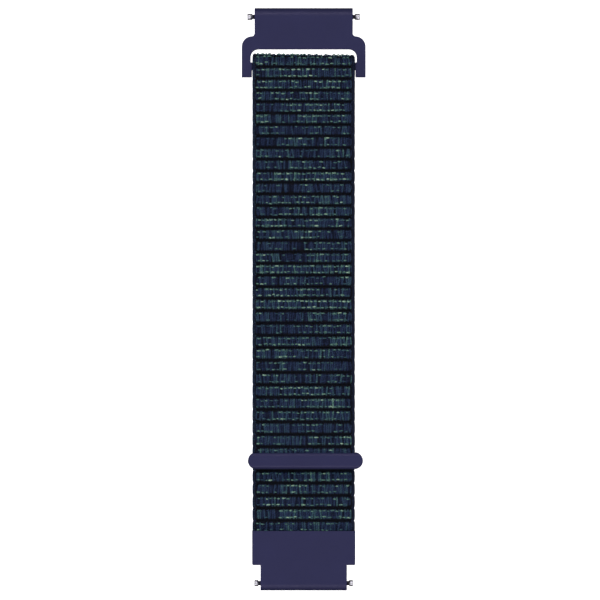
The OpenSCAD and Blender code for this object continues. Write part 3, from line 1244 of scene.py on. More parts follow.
    def weave_core(self, cloth: TubeMesh, edges: np.ndarray, seen: list[Face]) -> None:
        """Add the closed ground weave that the threads stand on.

        Args:
            cloth: what is being woven.
            edges: the grooves' places.
            seen: the faces that carry threads, on which the ground lies deeper.
        """
        core, edge = self.weave.core, self.weave.selvedge
        inner, half_t = self.inner, self.route.half_t
        share = np.array(core.shares)
        within = edges[:-1, None] + np.diff(edges)[:, None] * share
        stations = np.append(within.ravel(), edges[-1])
        dip_once = np.abs(share * 2 - 1) ** core.dip_power
        dip = np.append(np.tile(dip_once, len(edges) - 1), 1.0)[:, None]
        bead = inner - core.bead
        across = np.array([-inner, -bead, -inner / 2, 0.0, inner / 2, bead, inner])
        turn = np.radians(core.edge_deg)
        right_x, right_h = inner + edge.width * np.cos(turn), np.sin(turn)
        ring_x = np.concatenate([across, right_x, across[::-1], -right_x])
        flat = np.ones(len(across))
        ring_h = np.concatenate([flat, right_h, -flat, -right_h])
        middle = np.concatenate([[0], flat[1:-1], [0], np.zeros(len(turn))] * 2)
        piled = np.where(ring_h > 0, Face.OUTER in seen, Face.INNER in seen)
        sink = np.where(piled, core.sink, core.bare_sink) * middle + core.edge_sink * (1 - middle)
        groove = np.where(piled, core.groove, core.bare_groove) * middle
        height = ring_h * (half_t - sink - dip * groove)
        is_edge = np.abs(ring_x) > inner + 1e-6
        x = ring_x - np.sign(ring_x) * edge.notch * dip * is_edge
        s = np.repeat(stations[:, None], len(ring_x), 1)
        # the near-black core is painted shade under the threads and in the grooves; a bare face's
        # ribs are painted lighter than its grooves
        tone = np.where(is_edge, core.edge_tone, core.tone) + np.zeros_like(x)
        tone += np.where(piled | is_edge, 0.0, core.bare_tone * (1 - dip))
        cloth.add(self.route.place(x, s, height)[None], tone[None])

    def lay_threads(
        self,
        cloth: TubeMesh,
        x: np.ndarray,
        s: np.ndarray,
        h: np.ndarray,
        r: np.ndarray,
        tone: np.ndarray,
        sides: int,
    ) -> None:
        """Add many threads, each with one row and a column per ring.

        Args:
            cloth: what is being woven.
            x: places across the band.
            s: distances along the cloth.
            h: heights above the cloth's middle.
            r: radii.
            tone: yarn tones.
            sides: points round each thread.
        """
        line = self.route.place(x, s, h)
        out = self.route.place(x, s, h + np.where(h < 0, -1.0, 1.0)) - line
        steps = np.linalg.norm(np.diff(line, axis=1), axis=-1)
        walked = np.pad(np.cumsum(steps, 1), ((0, 0), (1, 0))) / self.weave.twist_mm
        start = self.random.random((len(line), 1))
        twist = (walked + start)[..., None] + np.arange(sides) / sides
        cloth.add(sweep(line, out, r, sides), tone[..., None], twist)

    def light_patches(self, half: float) -> Callable[[np.ndarray], np.ndarray]:
        """Make one rib's drift between navy and grey-green yarn.

        Args:
            half: how far the rib reaches each way.

        Returns:
            A function of the place across the band, from 0 to 1.
        """
        drift = self.weave.drift
        knots = np.arange(-half, half + drift.patch_len, drift.patch_len)
        middle, spread = drift.level
        level = middle + self.random.normal(0, drift.rib_level)
        levels = np.clip(self.random.normal(level, spread, len(knots)), 0, 1)
        return lambda x: np.interp(x, knots, levels)

    def weave_ribs(self, cloth: TubeMesh, edges: np.ndarray, face: Face) -> None:
        """Stand the threads and margin stitches of each rib on one face.

        Args:
            cloth: what is being woven.
            edges: the grooves' places.
            face: the side of the cloth.
        """
        for low, high in zip(edges, edges[1:]):
            patches = self.light_patches(self.inner)
            self.fill_rib(cloth, low, high, face)
            self.stand_threads(cloth, low, high, patches, face)
            middle, half = (low + high) / 2, (high - low) / 2
            for side in (-1, 1):
                row = middle + side * self.weave.stitches.at * half
                self.stitch_margin(cloth, row, patches, face)

    def fill_rib(self, cloth: TubeMesh, low: float, high: float, face: Face) -> None:
        """Fill the ground of one rib with dark threads, and its grooves with weft.

        Args:
            cloth: what is being woven.
            low: the groove before the rib.
            high: the groove after it.
            face: the side of the cloth.
        """
        ground, weft = self.weave.ground, self.weave.weft
        reach, half_t = self.inner, self.route.half_t
        u = np.linspace(-1, 1, ground.rings)
        ends = u**ground.power
        n = int(2 * reach / ground.pitch)
        x = np.linspace(-reach + ground.r, reach - ground.r, n)[:, None]
        x = x + self.random.uniform(-ground.wander, ground.wander, (n, 1))
        x = x + self.random.normal(0, ground.wander, (n, 1)) * u
        s = (low + high) / 2 + u * (high - low) / 2 * ground.span + np.zeros_like(x)
        h = half_t - ground.below - ground.r - ground.drop * ends + np.zeros_like(x)
        # painted shade: the ends are darkened where they drop towards the grooves
        tone = self.random.normal(*ground.tone, (n, 1)) - ground.shade * ends
        r = np.full_like(x, ground.r)
        self.lay_threads(cloth, x, s, h * face.value, r, tone, ground.sides)

        x = np.linspace(-reach, reach, weft.rings)[None] + np.zeros((2, 1))
        sway = weft.sway * np.sin(x * weft.sway_per_mm)
        s = np.array([[low + weft.at], [high - weft.at]]) + sway
        wave = np.sin(x * 2 * math.pi / weft.wave_mm + np.array([[0], [math.pi]]))
        h = half_t - weft.below + weft.wave * wave
        # the weft's near-black tone is painted shade of the groove
        r, tone = np.full_like(x, weft.r), np.full_like(x, weft.tone)
        self.lay_threads(cloth, x, s, h * face.value, r, tone, weft.sides)

    def stand_threads(
        self,
        cloth: TubeMesh,
        low: float,
        high: float,
        patches: Callable[[np.ndarray], np.ndarray],
        face: Face,
    ) -> None:
        """Stand the rib's own threads side by side, from one groove to the next.

        Args:
            cloth: what is being woven.
            low: the groove before the rib.
            high: the groove after it.
            patches: how light the yarn is at each place across.
            face: the side of the cloth.
        """
        thread, drift = self.weave.upright, self.weave.drift
        reach, half_t = self.inner, self.route.half_t
        u = np.linspace(-1, 1, thread.rings)
        ends = np.abs(u) ** thread.end_power
        n = int(2 * (reach - thread.r) / thread.pitch)
        x0 = np.linspace(-reach + thread.r, reach - thread.r, n)
        x0 = x0 + self.random.uniform(-thread.shift, thread.shift, n)
        lean = self.random.normal(0, thread.lean, n)[:, None] * np.sin(u * thread.lean_turn)
        bow = self.random.normal(0, thread.bow, n)[:, None] * (1 - u * u)
        sunk = (self.random.random(n) < thread.sunk_share)[:, None]
        x = np.clip(x0[:, None] + lean + bow, -reach, reach)
        s = (low + high) / 2 + u * (high - low) / 2 * thread.span + np.zeros_like(x)
        thickness = self.random.uniform(*thread.thickness, n)[:, None]
        r = thread.r * thickness * (1 - thread.end_thin * ends)
        drop = thread.drop * np.abs(u) ** thread.drop_power
        h = half_t - thread.below - thread.r - drop - sunk * thread.sunk_by * (1 - u * u)
        light = patches(x0)[:, None] * self.random.uniform(*drift.thread_light, n)[:, None]
        margin = smooth((np.abs(u) - drift.margin_from) / drift.margin_over)
        tone = self.random.normal(*thread.tone, n)[:, None]
        tone = tone + (drift.margin_tone + drift.margin_light * light) * margin
        # painted shade: a sunk thread is darkened, and each end is darkened down in the groove
        tone = np.where(sunk, tone * thread.sunk_shade_factor, tone) - thread.end_shade * ends
        self.lay_threads(cloth, x, s, h * face.value, r, tone, thread.sides)

    def stitch_margin(
        self, cloth: TubeMesh, s: float, patches: Callable[[np.ndarray], np.ndarray], face: Face
    ) -> None:
        """Run one row of short stitches across the band, along a rib's margin.

        Args:
            cloth: what is being woven.
            s: the row's distance along the cloth.
            patches: how light the yarn is at each place across.
            face: the side of the cloth.
        """
        stitch, half_t = self.weave.stitches, self.route.half_t
        reach = self.inner - stitch.inset
        starts, lengths = [], []
        x = -reach + self.random.uniform(*stitch.first)
        while x < reach - stitch.lengths[1]:
            length = self.random.uniform(*stitch.lengths)
            starts.append(x)
            lengths.append(length)
            x += length + self.random.uniform(*stitch.gaps)
        starts, lengths = np.array(starts), np.array(lengths)
        kept = stitch.kept + stitch.kept_light * patches(starts)
        keep = self.random.random(len(starts)) < kept
        starts, lengths = starts[keep], lengths[keep]
        n = len(starts)
        if n == 0:
            return
        t = np.linspace(0, 1, stitch.rings)
        x = starts[:, None] + lengths[:, None] * t
        shift = self.random.normal(0, stitch.shift, n)[:, None]
        wander = shift + self.random.normal(0, stitch.slant, (n, 1)) * t
        rise = 4 * t * (1 - t)
        h = half_t - stitch.r - stitch.dive * (1 - rise) ** 2 + np.zeros_like(x)
        thickness = self.random.uniform(*stitch.thickness, n)[:, None]
        r = stitch.r * (1 - stitch.taper * (1 - rise)) * thickness
        tone = self.random.normal(*stitch.tone, n) + stitch.light * patches(starts)
        # painted shade: each stitch's ends are darkened where they dive into the cloth
        tone = tone[:, None] - stitch.end_shade * (1 - rise)
        self.lay_threads(cloth, x, s + wander, h * face.value, r, tone, stitch.sides)

    def wrap_selvedges(self, cloth: TubeMesh, edges: np.ndarray) -> None:
        """Wrap binding threads round both edges of the cloth.

        Args:
            cloth: what is being woven.
            edges: the grooves' places.
        """
        wrap, half_t, half_w = self.weave.selvedge, self.route.half_t, self.route.half_w
        turn = np.radians(np.linspace(-wrap.wrap_deg, wrap.wrap_deg, wrap.rings))
        n = max(2, int((edges[-1] - edges[0]) / wrap.pitch))
        s0 = np.linspace(edges[0] + wrap.inset, edges[-1] - wrap.inset, n)
        nearest = np.min(np.abs(s0[:, None] - edges), 1)
        notch = wrap.notch * np.exp(-((nearest / wrap.notch_reach) ** 2))
        thin = 1 - wrap.thin * np.sin(turn) ** wrap.thin_power
        for side in (-1, 1):
            wave = self.random.uniform(*wrap.wave, n)[:, None]
            x = half_w - wrap.r - wrap.depth * (1 - np.cos(turn)) * wave - notch[:, None]
            h = (half_t - wrap.r) * np.sin(turn) + np.zeros_like(x)
            s = s0[:, None] + self.random.normal(0, wrap.shift, n)[:, None]
            s = s + wrap.slant * np.sin(turn)
            r = wrap.r * self.random.uniform(*wrap.thickness, n)[:, None] * thin
            # painted light: the left edge's yarn is painted lighter and the right's darker, as lit
            # and shaded sides
            middle = wrap.left_tone_lit if side < 0 else wrap.right_tone_shaded
            tone = self.random.normal(middle, wrap.tone_spread, n)[:, None] + np.zeros_like(x)
            self.lay_threads(cloth, x * side, s, h, r, tone, wrap.sides)


# ---------------------------------------------------------------------------
# Moulded and turned parts
# ---------------------------------------------------------------------------


@dataclass
class MouldedPart:
    """A moulding that keeps its CAD shape and gains the small radii that a tool gives its edges.

    Attributes:
        node: the CAD node whose shape it takes.
        body: the body it rides on.
        edge_mm: radius of its edges.
        flat_deg: faces that meet at less than this are made into one.
        sharp_deg: edges sharper than this are rounded.
        weld_mm: corners nearer than this are made into one.
        segments: steps across a rounded edge.
    """

    node: str
    body: str
    edge_mm: float
    flat_deg: float = 1.0
    sharp_deg: float = 28.0
    weld_mm: float = 0.0005
    segments: int = 3

    def build(self, wardrobe: Wardrobe) -> bpy.types.Object:
        """Make the moulding.

        Args:
            wardrobe: where its finish comes from.

        Returns:
            The piece, riding on its body.
        """
        piece = bpy.data.objects.new(f"{self.node}_moulded", frame["nodes"][self.node].data.copy())
        bpy.context.scene.collection.objects.link(piece)
        solid = bmesh.new()
        solid.from_mesh(piece.data)
        bmesh.ops.remove_doubles(solid, verts=solid.verts, dist=self.weld_mm * MM)
        bmesh.ops.dissolve_limit(
            solid,
            angle_limit=math.radians(self.flat_deg),
            use_dissolve_boundaries=False,
            verts=solid.verts,
            edges=solid.edges,
        )
        sharp = [
            e
            for e in solid.edges
            if e.is_manifold and e.calc_face_angle(0) > math.radians(self.sharp_deg)
        ]
        bmesh.ops.bevel(
            solid,
            geom=sharp,
            offset=self.edge_mm * MM,
            offset_type="OFFSET",
            segments=self.segments,
            profile=0.5,
            affect="EDGES",
            clamp_overlap=True,
        )
        for f in solid.faces:
            f.smooth = True
        for e in solid.edges:
            e.smooth = True
        solid.to_mesh(piece.data)
        solid.free()
        piece.data.update()
        wardrobe.dress(piece, POLYMER)
        weighted = piece.modifiers.new("even_normals", "WEIGHTED_NORMAL")
        weighted.keep_sharp = False
        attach(piece, self.body)
        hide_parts(self.node)
        log.info("%s: %d faces", piece.name, len(piece.data.polygons))
        return piece


@dataclass
class LoopConnector:
    """The frame at the top end, whose round crossbar the strap folds over.

    Attributes:
        edge_mm: radius of its edges.
    """

    edge_mm: float = 0.2

    def build(self, wardrobe: Wardrobe) -> None:
        """Mould the frame."""
        MouldedPart("loop_connector", "loop_connector", self.edge_mm).build(wardrobe)


@dataclass
class TipBar:
    """The bar moulded on the strap's free end.

    Attributes:
        edge_mm: radius of its edges.
    """

    edge_mm: float = 0.15

    def build(self, wardrobe: Wardrobe) -> None:
        """Mould the bar."""
        MouldedPart("tip_bar", "tip_c", self.edge_mm).build(wardrobe)


@dataclass
class FixedConnector:
    """The connector at the lower end: front moulding, back plate, and the strap's end inside.

    Attributes:
        front_edge_mm: radius of the front moulding's edges.
        back_edge_mm: radius of the back plate's edges.
        skin: how deep the strap end's ground lies under its threads.
        row_pitch: distance between the threads.
        row_wave: how far a thread sways.
        row_wave_per_mm: how fast it sways.
        thread_r: a thread's radius.
        thread_rings: rings of points along it.
        thread_sides: points round it.
        hole_r: radius of the punched holes, which the pegs pass.
        hole_pitch: distance between them.
        ground_tone: the ground's yarn.
        thread_tone: middle and spread of the threads' yarn.
        seed: start of its random numbers.
    """

    front_edge_mm: float = 0.12
    back_edge_mm: float = 0.08
    skin: float = 0.18
    row_pitch: float = 0.36
    row_wave: float = 0.03
    row_wave_per_mm: float = 5.0
    thread_r: float = 0.15
    thread_rings: int = 16
    thread_sides: int = 5
    hole_r: float = 0.8
    hole_pitch: float = 6.2
    ground_tone: float = 0.15
    thread_tone: tuple[float, float] = (0.38, 0.06)
    seed: int = 5

    def build(self, wardrobe: Wardrobe) -> None:
        """Make both mouldings and the strap's end.

        Args:
            wardrobe: where their finishes come from.
        """
        MouldedPart("fixed_connector_front", "fixed_connector", self.front_edge_mm).build(wardrobe)
        MouldedPart("fixed_connector_back", "fixed_connector", self.back_edge_mm).build(wardrobe)
        self.weave_tab(wardrobe)

    def rows(self, low: Vector, high: Vector) -> np.ndarray:
        """Lay out the threads across the strap's end, each cut where it meets a hole.

        Args:
            low: the strap end's lowest corner.
            high: its highest corner.

        Returns:
            Start and end across the band, and place along Y, of each thread.
        """
        hole_y = (low.y + high.y) / 2
        ends = []
        for y in np.arange(low.y + self.thread_r, high.y - self.thread_r, self.row_pitch):
            reach = math.sqrt(max(0.0, self.hole_r**2 - (y - hole_y) ** 2))
            cuts = [low.x + self.thread_r]
            if reach > 0:
                for k in (-1, 0, 1):
                    cuts += [k * self.hole_pitch - reach, k * self.hole_pitch + reach]
            cuts.append(high.x - self.thread_r)
            ends += [(x0, x1, y) for x0, x1 in zip(cuts[::2], cuts[1::2])]
        return np.array(ends)

    def weave_tab(self, wardrobe: Wardrobe) -> None:
        """Weave the strap's punched end: a ground with three holes, and threads across both faces.

        Args:
            wardrobe: where its finish comes from.
        """
        low, high = box_mm("strap_end_tab")
        random = np.random.default_rng(self.seed)
        ends = self.rows(low, high)
        x = ends[:, :1] + (ends[:, 1:2] - ends[:, :1]) * np.linspace(0, 1, self.thread_rings)
        phase = random.uniform(0, 6, (len(ends), 1))
        y = ends[:, 2:] + self.row_wave * np.sin(x * self.row_wave_per_mm + phase)
        y = np.clip(y, low.y + self.thread_r, high.y - self.thread_r)
        r = np.full_like(x, self.thread_r)
        turns = x[..., None] + np.arange(self.thread_sides) / self.thread_sides
        cloth = TubeMesh()
        for z, up in ((high.z - self.thread_r, 1.0), (low.z + self.thread_r, -1.0)):
            line = np.stack([x, y, np.full_like(x, z)], -1)
            out = np.broadcast_to((0.0, 0.0, up), line.shape)
            tone = random.normal(*self.thread_tone, (len(ends), 1, 1))
            cloth.add(sweep(line, out, r, self.thread_sides), tone, turns)
        threads = cloth.make("strap_end_tab_woven")
        both = bmesh.new()
        both.from_mesh(frame["nodes"]["strap_end_tab"].data)
        middle = (low.z + high.z) / 2 * MM
        for corner in both.verts:
            corner.co.z -= math.copysign(self.skin * MM, corner.co.z - middle)
        ground = len(both.verts)
        both.from_mesh(threads.data)
        both.to_mesh(threads.data)
        both.free()
        tones = threads.data.attributes[YARN_TONE].data
        for k in range(ground):
            tones[k].value = self.ground_tone
        wardrobe.dress(threads, YARN)
        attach(threads, "fixed_connector")
        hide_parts("strap_end_tab")
        log.info("%s: %d faces", threads.name, len(threads.data.polygons))


@dataclass
class HookTape:
    """The strip of cut hooks under the strap's free end: a thin backing with rows of hooks below it.

    It is made in two lengths, one for each joint under the strap above it.

    Attributes:
        backing_t: thickness of the backing.
        edge: size of its bevelled edge.
        margin: what stays free of hooks at the edges.
        ring_pitch: distance between the backing's sections.
        row_pitch: distance between rows of hooks.
        hook_pitch: distance between the hooks of a row.
        hook_r: radius of a hook's monofilament.
        hook_sides: points round it.
        hook_line: a hook's middle line: how far across, and how far down.
        backing_tone: the backing's yarn.
        hook_tone: middle and spread of the hooks' yarn.
        wander: how far a hook stands from its place.
        seed: start of its random numbers.
    """

    backing_t: float = 0.2
    edge: float = 0.05
    margin: float = 0.4
    ring_pitch: float = 0.45
    row_pitch: float = 0.8
    hook_pitch: float = 0.7
    hook_r: float = 0.05
    hook_sides: int = 5
    hook_line: tuple[tuple[float, float], ...] = (
        (0.0, 0.04),
        (0.0, -0.1),
        (0.03, -0.19),
        (0.1, -0.24),
        (0.18, -0.21),
        (0.21, -0.14),
    )
    backing_tone: float = 0.3
    hook_tone: tuple[float, float] = (0.6, 0.1)
    wander: float = 0.04
    seed: int = 9

    def build(self, wardrobe: Wardrobe) -> None:
        """Make both lengths of the strip, cut halfway between their joints.

        Args:
            wardrobe: where their finish comes from.
        """
        random = np.random.default_rng(self.seed)
        joint_3, joint_2 = "tip_curl_at_joint_3", "tip_curl_at_joint_2"
        cut = (joint_mm(joint_3).y + joint_mm(joint_2).y) / 2
        end, start = box_mm("hook_tape_c")[0].y, box_mm("hook_tape_b")[1].y
        first = Crossing("hook_tape_first", "tip_a", "tip_b", joint_3, "hook_tape_b", (2.3, 4.5))
        second = Crossing("hook_tape_second", "tip_b", "tip_c", joint_2, "hook_tape_c")
        for crossing, y0, y1 in ((first, cut, start), (second, end, cut)):
            crossing.bend(self.strip(crossing.name, y0, y1, random, wardrobe), -1)

    def strip(
        self, name: str, y0: float, y1: float, random: np.random.Generator, wardrobe: Wardrobe
    ) -> bpy.types.Object:
        """Make one length of the strip.

        Args:
            name: the piece's name.
            y0: its lower end.
            y1: its upper end.
            random: where its random numbers come from.
            wardrobe: where its finish comes from.

        Returns:
            The dressed mesh object.
        """
        low, high = box_mm("hook_tape_b")
        tape = TubeMesh()
        top, bottom, e = high.z, high.z - self.backing_t, self.edge
        ys = np.linspace(y0, y1, round((y1 - y0) / self.ring_pitch))
        xs = np.array([low.x, low.x + e, high.x - e, high.x])
        ring_x = np.concatenate([xs, xs[::-1]])
        ring_z = np.array([bottom + e, bottom, bottom, bottom + e, top - e, top, top, top - e])
        y, x = np.meshgrid(ys, ring_x, indexing="ij")
        section = np.stack([x, y, np.broadcast_to(ring_z, x.shape)], -1)
        tape.add(section[None, ::-1], np.full((1, 1, 1), self.backing_tone))

        spread = np.arange(low.x + self.margin, high.x - self.margin, self.hook_pitch)
        rows = np.arange(y0 + self.margin, y1 - self.margin / 2, self.row_pitch)
        x0, y0s = (g.ravel()[:, None] for g in np.meshgrid(spread, rows))
        heading = np.where(np.round((y0s - rows[0]) / self.row_pitch) % 2 < 1, 1.0, -1.0)
        across, down = np.array(self.hook_line).T
        x = x0 + random.normal(0, self.wander, x0.shape) + across * heading
        y = y0s + random.normal(0, self.wander, y0s.shape) + np.zeros_like(x)
        line = np.stack([x, y, bottom + down + np.zeros_like(x)], -1)
        out = np.broadcast_to((0.0, 1.0, 0.0), line.shape)
        tone = random.normal(*self.hook_tone, (len(x), 1, 1))
        tape.add(sweep(line, out, np.full_like(x, self.hook_r), self.hook_sides), tone)
        piece = tape.make(name)
        wardrobe.dress(piece, HOOKS)
        log.info("%s: %d hooks, %d faces", name, len(x), len(piece.data.polygons))
        return piece


@dataclass
class SpringBar:
    """One spring bar: a steel tube with a coil spring, and a sliding pin at each end.

    The pin's places are measured along it from the inner end of its head. The spring is wound in two
    halves, one for each pin.

    Attributes:
        end: "upper" or "lower".
        head_end: where the head inside the tube ends and the shaft starts.
        shaft_end: where the shaft ends and the neck starts.
        neck_end: where the neck ends and the bare tip starts.
        head_r: the head's radius.
        shaft_r: the shaft's.
        neck_r: the neck's, which fills the tube's mouth.
        tip_r: the tip's.
        tip_round: radius of the tip's rounded end.
        tip_steps: points round that end.
        break_edge: size of the broken edges between them.
        sides: points round the pin.
        press: how far the pin can be pressed in; not used.
        wire_r: radius of the spring's wire.
        coil_r: radius of its coil.
        half_turns: turns of each half.
        steps: points along one turn.
        wire_sides: points round the wire.
    """

    end: str
    head_end: float = 1.4
    shaft_end: float = 3.15
    neck_end: float = 3.65
    head_r: float = 0.45
    shaft_r: float = 0.32
    neck_r: float = 0.45
    tip_r: float = 0.62
    tip_round: float = 0.14
    tip_steps: int = 6
    break_edge: float = 0.02
    sides: int = 32
    press: float = 1.2
    wire_r: float = 0.075
    coil_r: float = 0.375
    half_turns: int = 6
    steps: int = 16
    wire_sides: int = 6

    def build(self, wardrobe: Wardrobe) -> None:
        """Dress the tube, wind the spring and turn both pins.

        Args:
            wardrobe: where their finishes come from.
        """
        wardrobe.dress(frame["nodes"][f"{self.end}_bar_tube"], TUBE_STEEL)
        for side in ("left", "right"):
            self.turn_pin(side, wardrobe)
            self.wind_spring(side, wardrobe)

    def wind_spring(self, side: str, wardrobe: Wardrobe) -> None:
        """Wind the half of the spring that one pin presses.

        Args:
            side: "left" or "right".
            wardrobe: where its finish comes from.
        """
        node = f"{self.end}_bar_spring"
        low, high = box_mm(node)
        half = high.x - self.wire_r
        t = np.linspace(0, 1, self.half_turns * self.steps + 1)
        x = -half * t if side == "left" else half * t
        turn = math.pi * 2 * self.half_turns * (1 + x / half)
        y = (low.y + high.y) / 2 + self.coil_r * np.cos(turn)
        z = (low.z + high.z) / 2 + self.coil_r * np.sin(turn)
        line = np.stack([x, y, z], -1)[None]
        out = np.broadcast_to((1.0, 0.0, 0.0), line.shape)
        r = np.full((1, len(t)), self.wire_r)
        wire = TubeMesh()
        wire.add(sweep(line, out, r, self.wire_sides), np.zeros((1, 1, 1)))
        spring = wire.make(f"{node}_{side}_half")
        wardrobe.dress(spring, SPRING_STEEL)
        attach(spring, f"{self.end}_bar")
        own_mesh(spring)
        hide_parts(node)

    def profile(self, length: float) -> np.ndarray:
        """Give the pin's outline.

        Args:
            length: the pin's whole length.

        Returns:
            Place along the pin and radius, from the head to the tip.
        """
        e, tip = self.break_edge, self.tip_round
        points = [(0.0, self.head_r - e), (e, self.head_r)]
        for x, before, after in (
            (self.head_end, self.head_r, self.shaft_r),
            (self.shaft_end, self.shaft_r, self.neck_r),
            (self.neck_end, self.neck_r, self.tip_r),
        ):
            step = math.copysign(e, after - before)
            points += [(x - e, before), (x, before + step)]
            points += [(x + e, after - step), (x + 2 * e, after)]
        for turn in np.radians(np.linspace(0, 90, self.tip_steps)):
            x = length - tip + tip * math.sin(turn)
            points.append((x, self.tip_r - tip + tip * math.cos(turn)))
        return np.array(points)

    def turn_pin(self, side: str, wardrobe: Wardrobe) -> None:
        """Turn one pin on a lathe.

        Args:
            side: "left" or "right".
            wardrobe: where its finish comes from.
        """
        name = f"{self.end}_{side}_pin"
        node = f"{self.end}_bar_{side}_pin"
        low, high = box_mm(node)
        place, r = self.profile(high.x - low.x).T
        x = high.x - place if side == "left" else low.x + place
        y, z = (low.y + high.y) / 2, (low.z + high.z) / 2
        line = np.stack([x, np.full_like(x, y), np.full_like(x, z)], -1)[None]
        out = np.broadcast_to((0.0, 0.0, 1.0), line.shape)
        solid = TubeMesh()
        solid.add(sweep(line, out, r[None], self.sides), np.zeros((1, 1, 1)))
        pin = solid.make(f"{name}{PIN_SUFFIX}")
        wardrobe.dress(pin, PIN_STEEL)
        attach(pin, name)
        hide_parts(node)


# ---------------------------------------------------------------------------
# Camera, light and floor
# ---------------------------------------------------------------------------


@dataclass(frozen=True)
class Lamp:
    """One rectangular lamp that is aimed at the band.

    Attributes:
        name: the lamp's name.
        place: where it hangs, in metres.
        size: its two sides, in metres.
        watts: its power.
        glare: whether glossy surfaces mirror it; without, it is as if seen through a polariser.
        colour: its linear colour.
    """

    name: str
    place: tuple[float, float, float]
    size: tuple[float, float]
    watts: float
    glare: bool = False
    colour: tuple[float, float, float] = (1.0, 1.0, 1.0)

    def hang(self) -> bpy.types.Object:
        """Hang the lamp.

        Returns:
            The lamp's object.
        """
        lamp = bpy.data.objects.new(self.name, bpy.data.lights.new(self.name, "AREA"))
        bpy.context.scene.collection.objects.link(lamp)
        lamp.data.shape = "RECTANGLE"
        lamp.data.size, lamp.data.size_y = self.size
        lamp.data.energy = self.watts
        lamp.data.color = self.colour
        lamp.visible_glossy = self.glare
        lamp.location = self.place
        lamp.rotation_euler = (-Vector(self.place)).to_track_quat("-Z", "Y").to_euler()
        return lamp


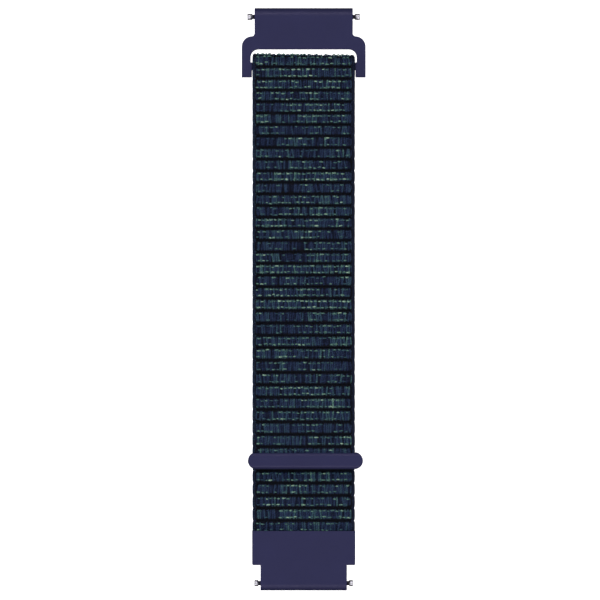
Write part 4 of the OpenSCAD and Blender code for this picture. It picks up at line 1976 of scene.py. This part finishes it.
class Studio:
    """The camera, the soft lights and the pale floor.

    Attributes:
        LENS_MM: the lens, long enough that the view is almost without perspective.
        SENSOR_MM: width of the camera's film.
        VIEW_MM: width of the view at the band.
        AIM_MM: what the middle of the view is aimed at.
        CLIP_M: how near the camera begins to see.
        STRIP_COLOUR: linear tint of the strip lamps.
        LAMPS: soft lamps overhead, a tinted strip towards each end, and a low lamp at each side.
        GLOW: a wide lamp that only steel sees, for the white room that a polished pin mirrors.
        ROOM_LIGHT: the room's own light, from the horizon to straight overhead.
        ROOM_HEIGHTS: the heights of direction at which those two are reached.
        FLOOR_REACH: how far the floor reaches each way, in metres.
        FLOOR_DROP: how far below the band it lies; a curled band reaches 45 mm down.
        FLOOR_GREY: the paint's base colour.
        FLOOR_ROUGH: how matt the paint is.
        FLOOR_GLOW: light of its own, which keeps it evenly pale.
    """

    LENS_MM = 300.0
    SENSOR_MM = 36.0
    VIEW_MM = 122.1
    AIM_MM = (-0.75, -0.14, 3.0)
    CLIP_M = 0.01
    STRIP_COLOUR = (0.9, 0.78, 1.0)
    LAMPS = (
        Lamp("overhead_right", (0.25, -0.1, 1.0), (0.4, 0.4), 3.2),
        Lamp("overhead_left", (-0.3, 0.1, 1.0), (0.4, 0.4), 4.0),
        Lamp("strip_up", (0.0, 0.72, 0.7), (0.6, 0.12), 1.4, True, STRIP_COLOUR),
        Lamp("strip_down", (0.0, -0.72, 0.7), (0.6, 0.12), 1.4, True, STRIP_COLOUR),
        Lamp("side_left", (-1.0, 0.0, 0.2), (0.5, 0.5), 7.0),
        Lamp("side_right", (1.0, 0.0, 0.2), (0.5, 0.5), 2.0),
    )
    GLOW = Lamp("glow_on_steel", (0.0, 0.0, 0.8), (6.0, 6.0), 100.0, True)
    ROOM_LIGHT = (0.08, 0.2)
    ROOM_HEIGHTS = (-0.2, 1.0)
    FLOOR_REACH = 3.0
    FLOOR_DROP = 0.05
    FLOOR_GREY = 0.8
    FLOOR_ROUGH = 0.9
    FLOOR_GLOW = 0.85

    def build(self) -> None:
        """Set up everything that isn't part of the band."""
        bpy.context.scene.view_settings.view_transform = "Standard"
        self.add_camera()
        self.add_lights()
        self.add_world()
        self.add_floor()

    def add_camera(self) -> None:
        """Look straight down on the band, with +Y up."""
        camera = bpy.data.objects.new("camera", bpy.data.cameras.new("camera"))
        bpy.context.scene.collection.objects.link(camera)
        camera.data.lens = self.LENS_MM
        camera.data.sensor_width = self.SENSOR_MM
        away = self.VIEW_MM * self.LENS_MM / self.SENSOR_MM
        camera.location = Vector(self.AIM_MM) * MM + Vector((0, 0, away * MM))
        camera.data.clip_start = self.CLIP_M
        bpy.context.scene.camera = camera

    def add_lights(self) -> None:
        """Hang the lamps, and let the glow fall on the steel pins alone."""
        for lamp in self.LAMPS:
            lamp.hang()
        glow = self.GLOW.hang()
        steel = bpy.data.collections.new("steel")
        for piece in bpy.data.objects:
            if piece.name.endswith(PIN_SUFFIX):
                steel.objects.link(piece)
        glow.light_linking.receiver_collection = steel

    def add_world(self) -> None:
        """Fill the room with soft white light, and show pure white behind the band."""
        world = bpy.data.worlds.new("soft_room")
        bpy.context.scene.world = world
        world.use_nodes = True
        tree = world.node_tree
        tree.nodes.clear()
        ray = add_node(tree, "ShaderNodeLightPath", {}).outputs["Is Camera Ray"]
        way = add_node(tree, "ShaderNodeTexCoord", {}).outputs["Generated"]
        height = add_node(tree, "ShaderNodeSeparateXYZ", {"Vector": way}).outputs["Z"]
        (horizon, zenith), (low, high) = self.ROOM_HEIGHTS, self.ROOM_LIGHT
        heights = {"Value": height, "From Min": horizon, "From Max": zenith}
        levels = {"To Min": low, "To Max": high}
        level = add_node(tree, "ShaderNodeMapRange", heights | levels).outputs[0]
        shown = []
        for strength in (level, 1.0):
            light = {"Color": (1, 1, 1, 1), "Strength": strength}
            shown.append(add_node(tree, "ShaderNodeBackground", light).outputs[0])
        mix = add_node(tree, "ShaderNodeMixShader", {0: ray, 1: shown[0], 2: shown[1]})
        add_node(tree, "ShaderNodeOutputWorld", {"Surface": mix.outputs[0]})

    def add_floor(self) -> None:
        """Lay a pale floor, clear below the lowest place that a curled band reaches."""
        far, drop = self.FLOOR_REACH, self.FLOOR_DROP
        corners = ((-far, -far), (far, -far), (far, far), (-far, far))
        mesh = bpy.data.meshes.new("floor")
        mesh.from_pydata([(x, y, -drop) for x, y in corners], [], [(0, 1, 2, 3)])
        floor = bpy.data.objects.new("floor", mesh)
        bpy.context.scene.collection.objects.link(floor)
        floor.visible_shadow = False
        floor.visible_diffuse = False
        floor.visible_glossy = False
        paint = bpy.data.materials.new("matt_white_paint")
        paint.use_nodes = True
        shader = next(n for n in paint.node_tree.nodes if n.type == "BSDF_PRINCIPLED")
        shader.inputs["Base Color"].default_value = (*[self.FLOOR_GREY] * 3, 1)
        shader.inputs["Roughness"].default_value = self.FLOOR_ROUGH
        shader.inputs["Emission Color"].default_value = (1, 1, 1, 1)
        shader.inputs["Emission Strength"].default_value = self.FLOOR_GLOW
        mesh.materials.append(paint)


def main() -> None:
    """Build the band and the studio."""
    logging.basicConfig(level=logging.INFO, format="%(message)s")
    wardrobe = Wardrobe()
    WovenStrap(wardrobe).build()
    LoopConnector().build(wardrobe)
    FixedConnector().build(wardrobe)
    TipBar().build(wardrobe)
    HookTape().build(wardrobe)
    for end in ("upper", "lower"):
        SpringBar(end).build(wardrobe)
    Studio().build()


if __name__ == "__main__":
    main()
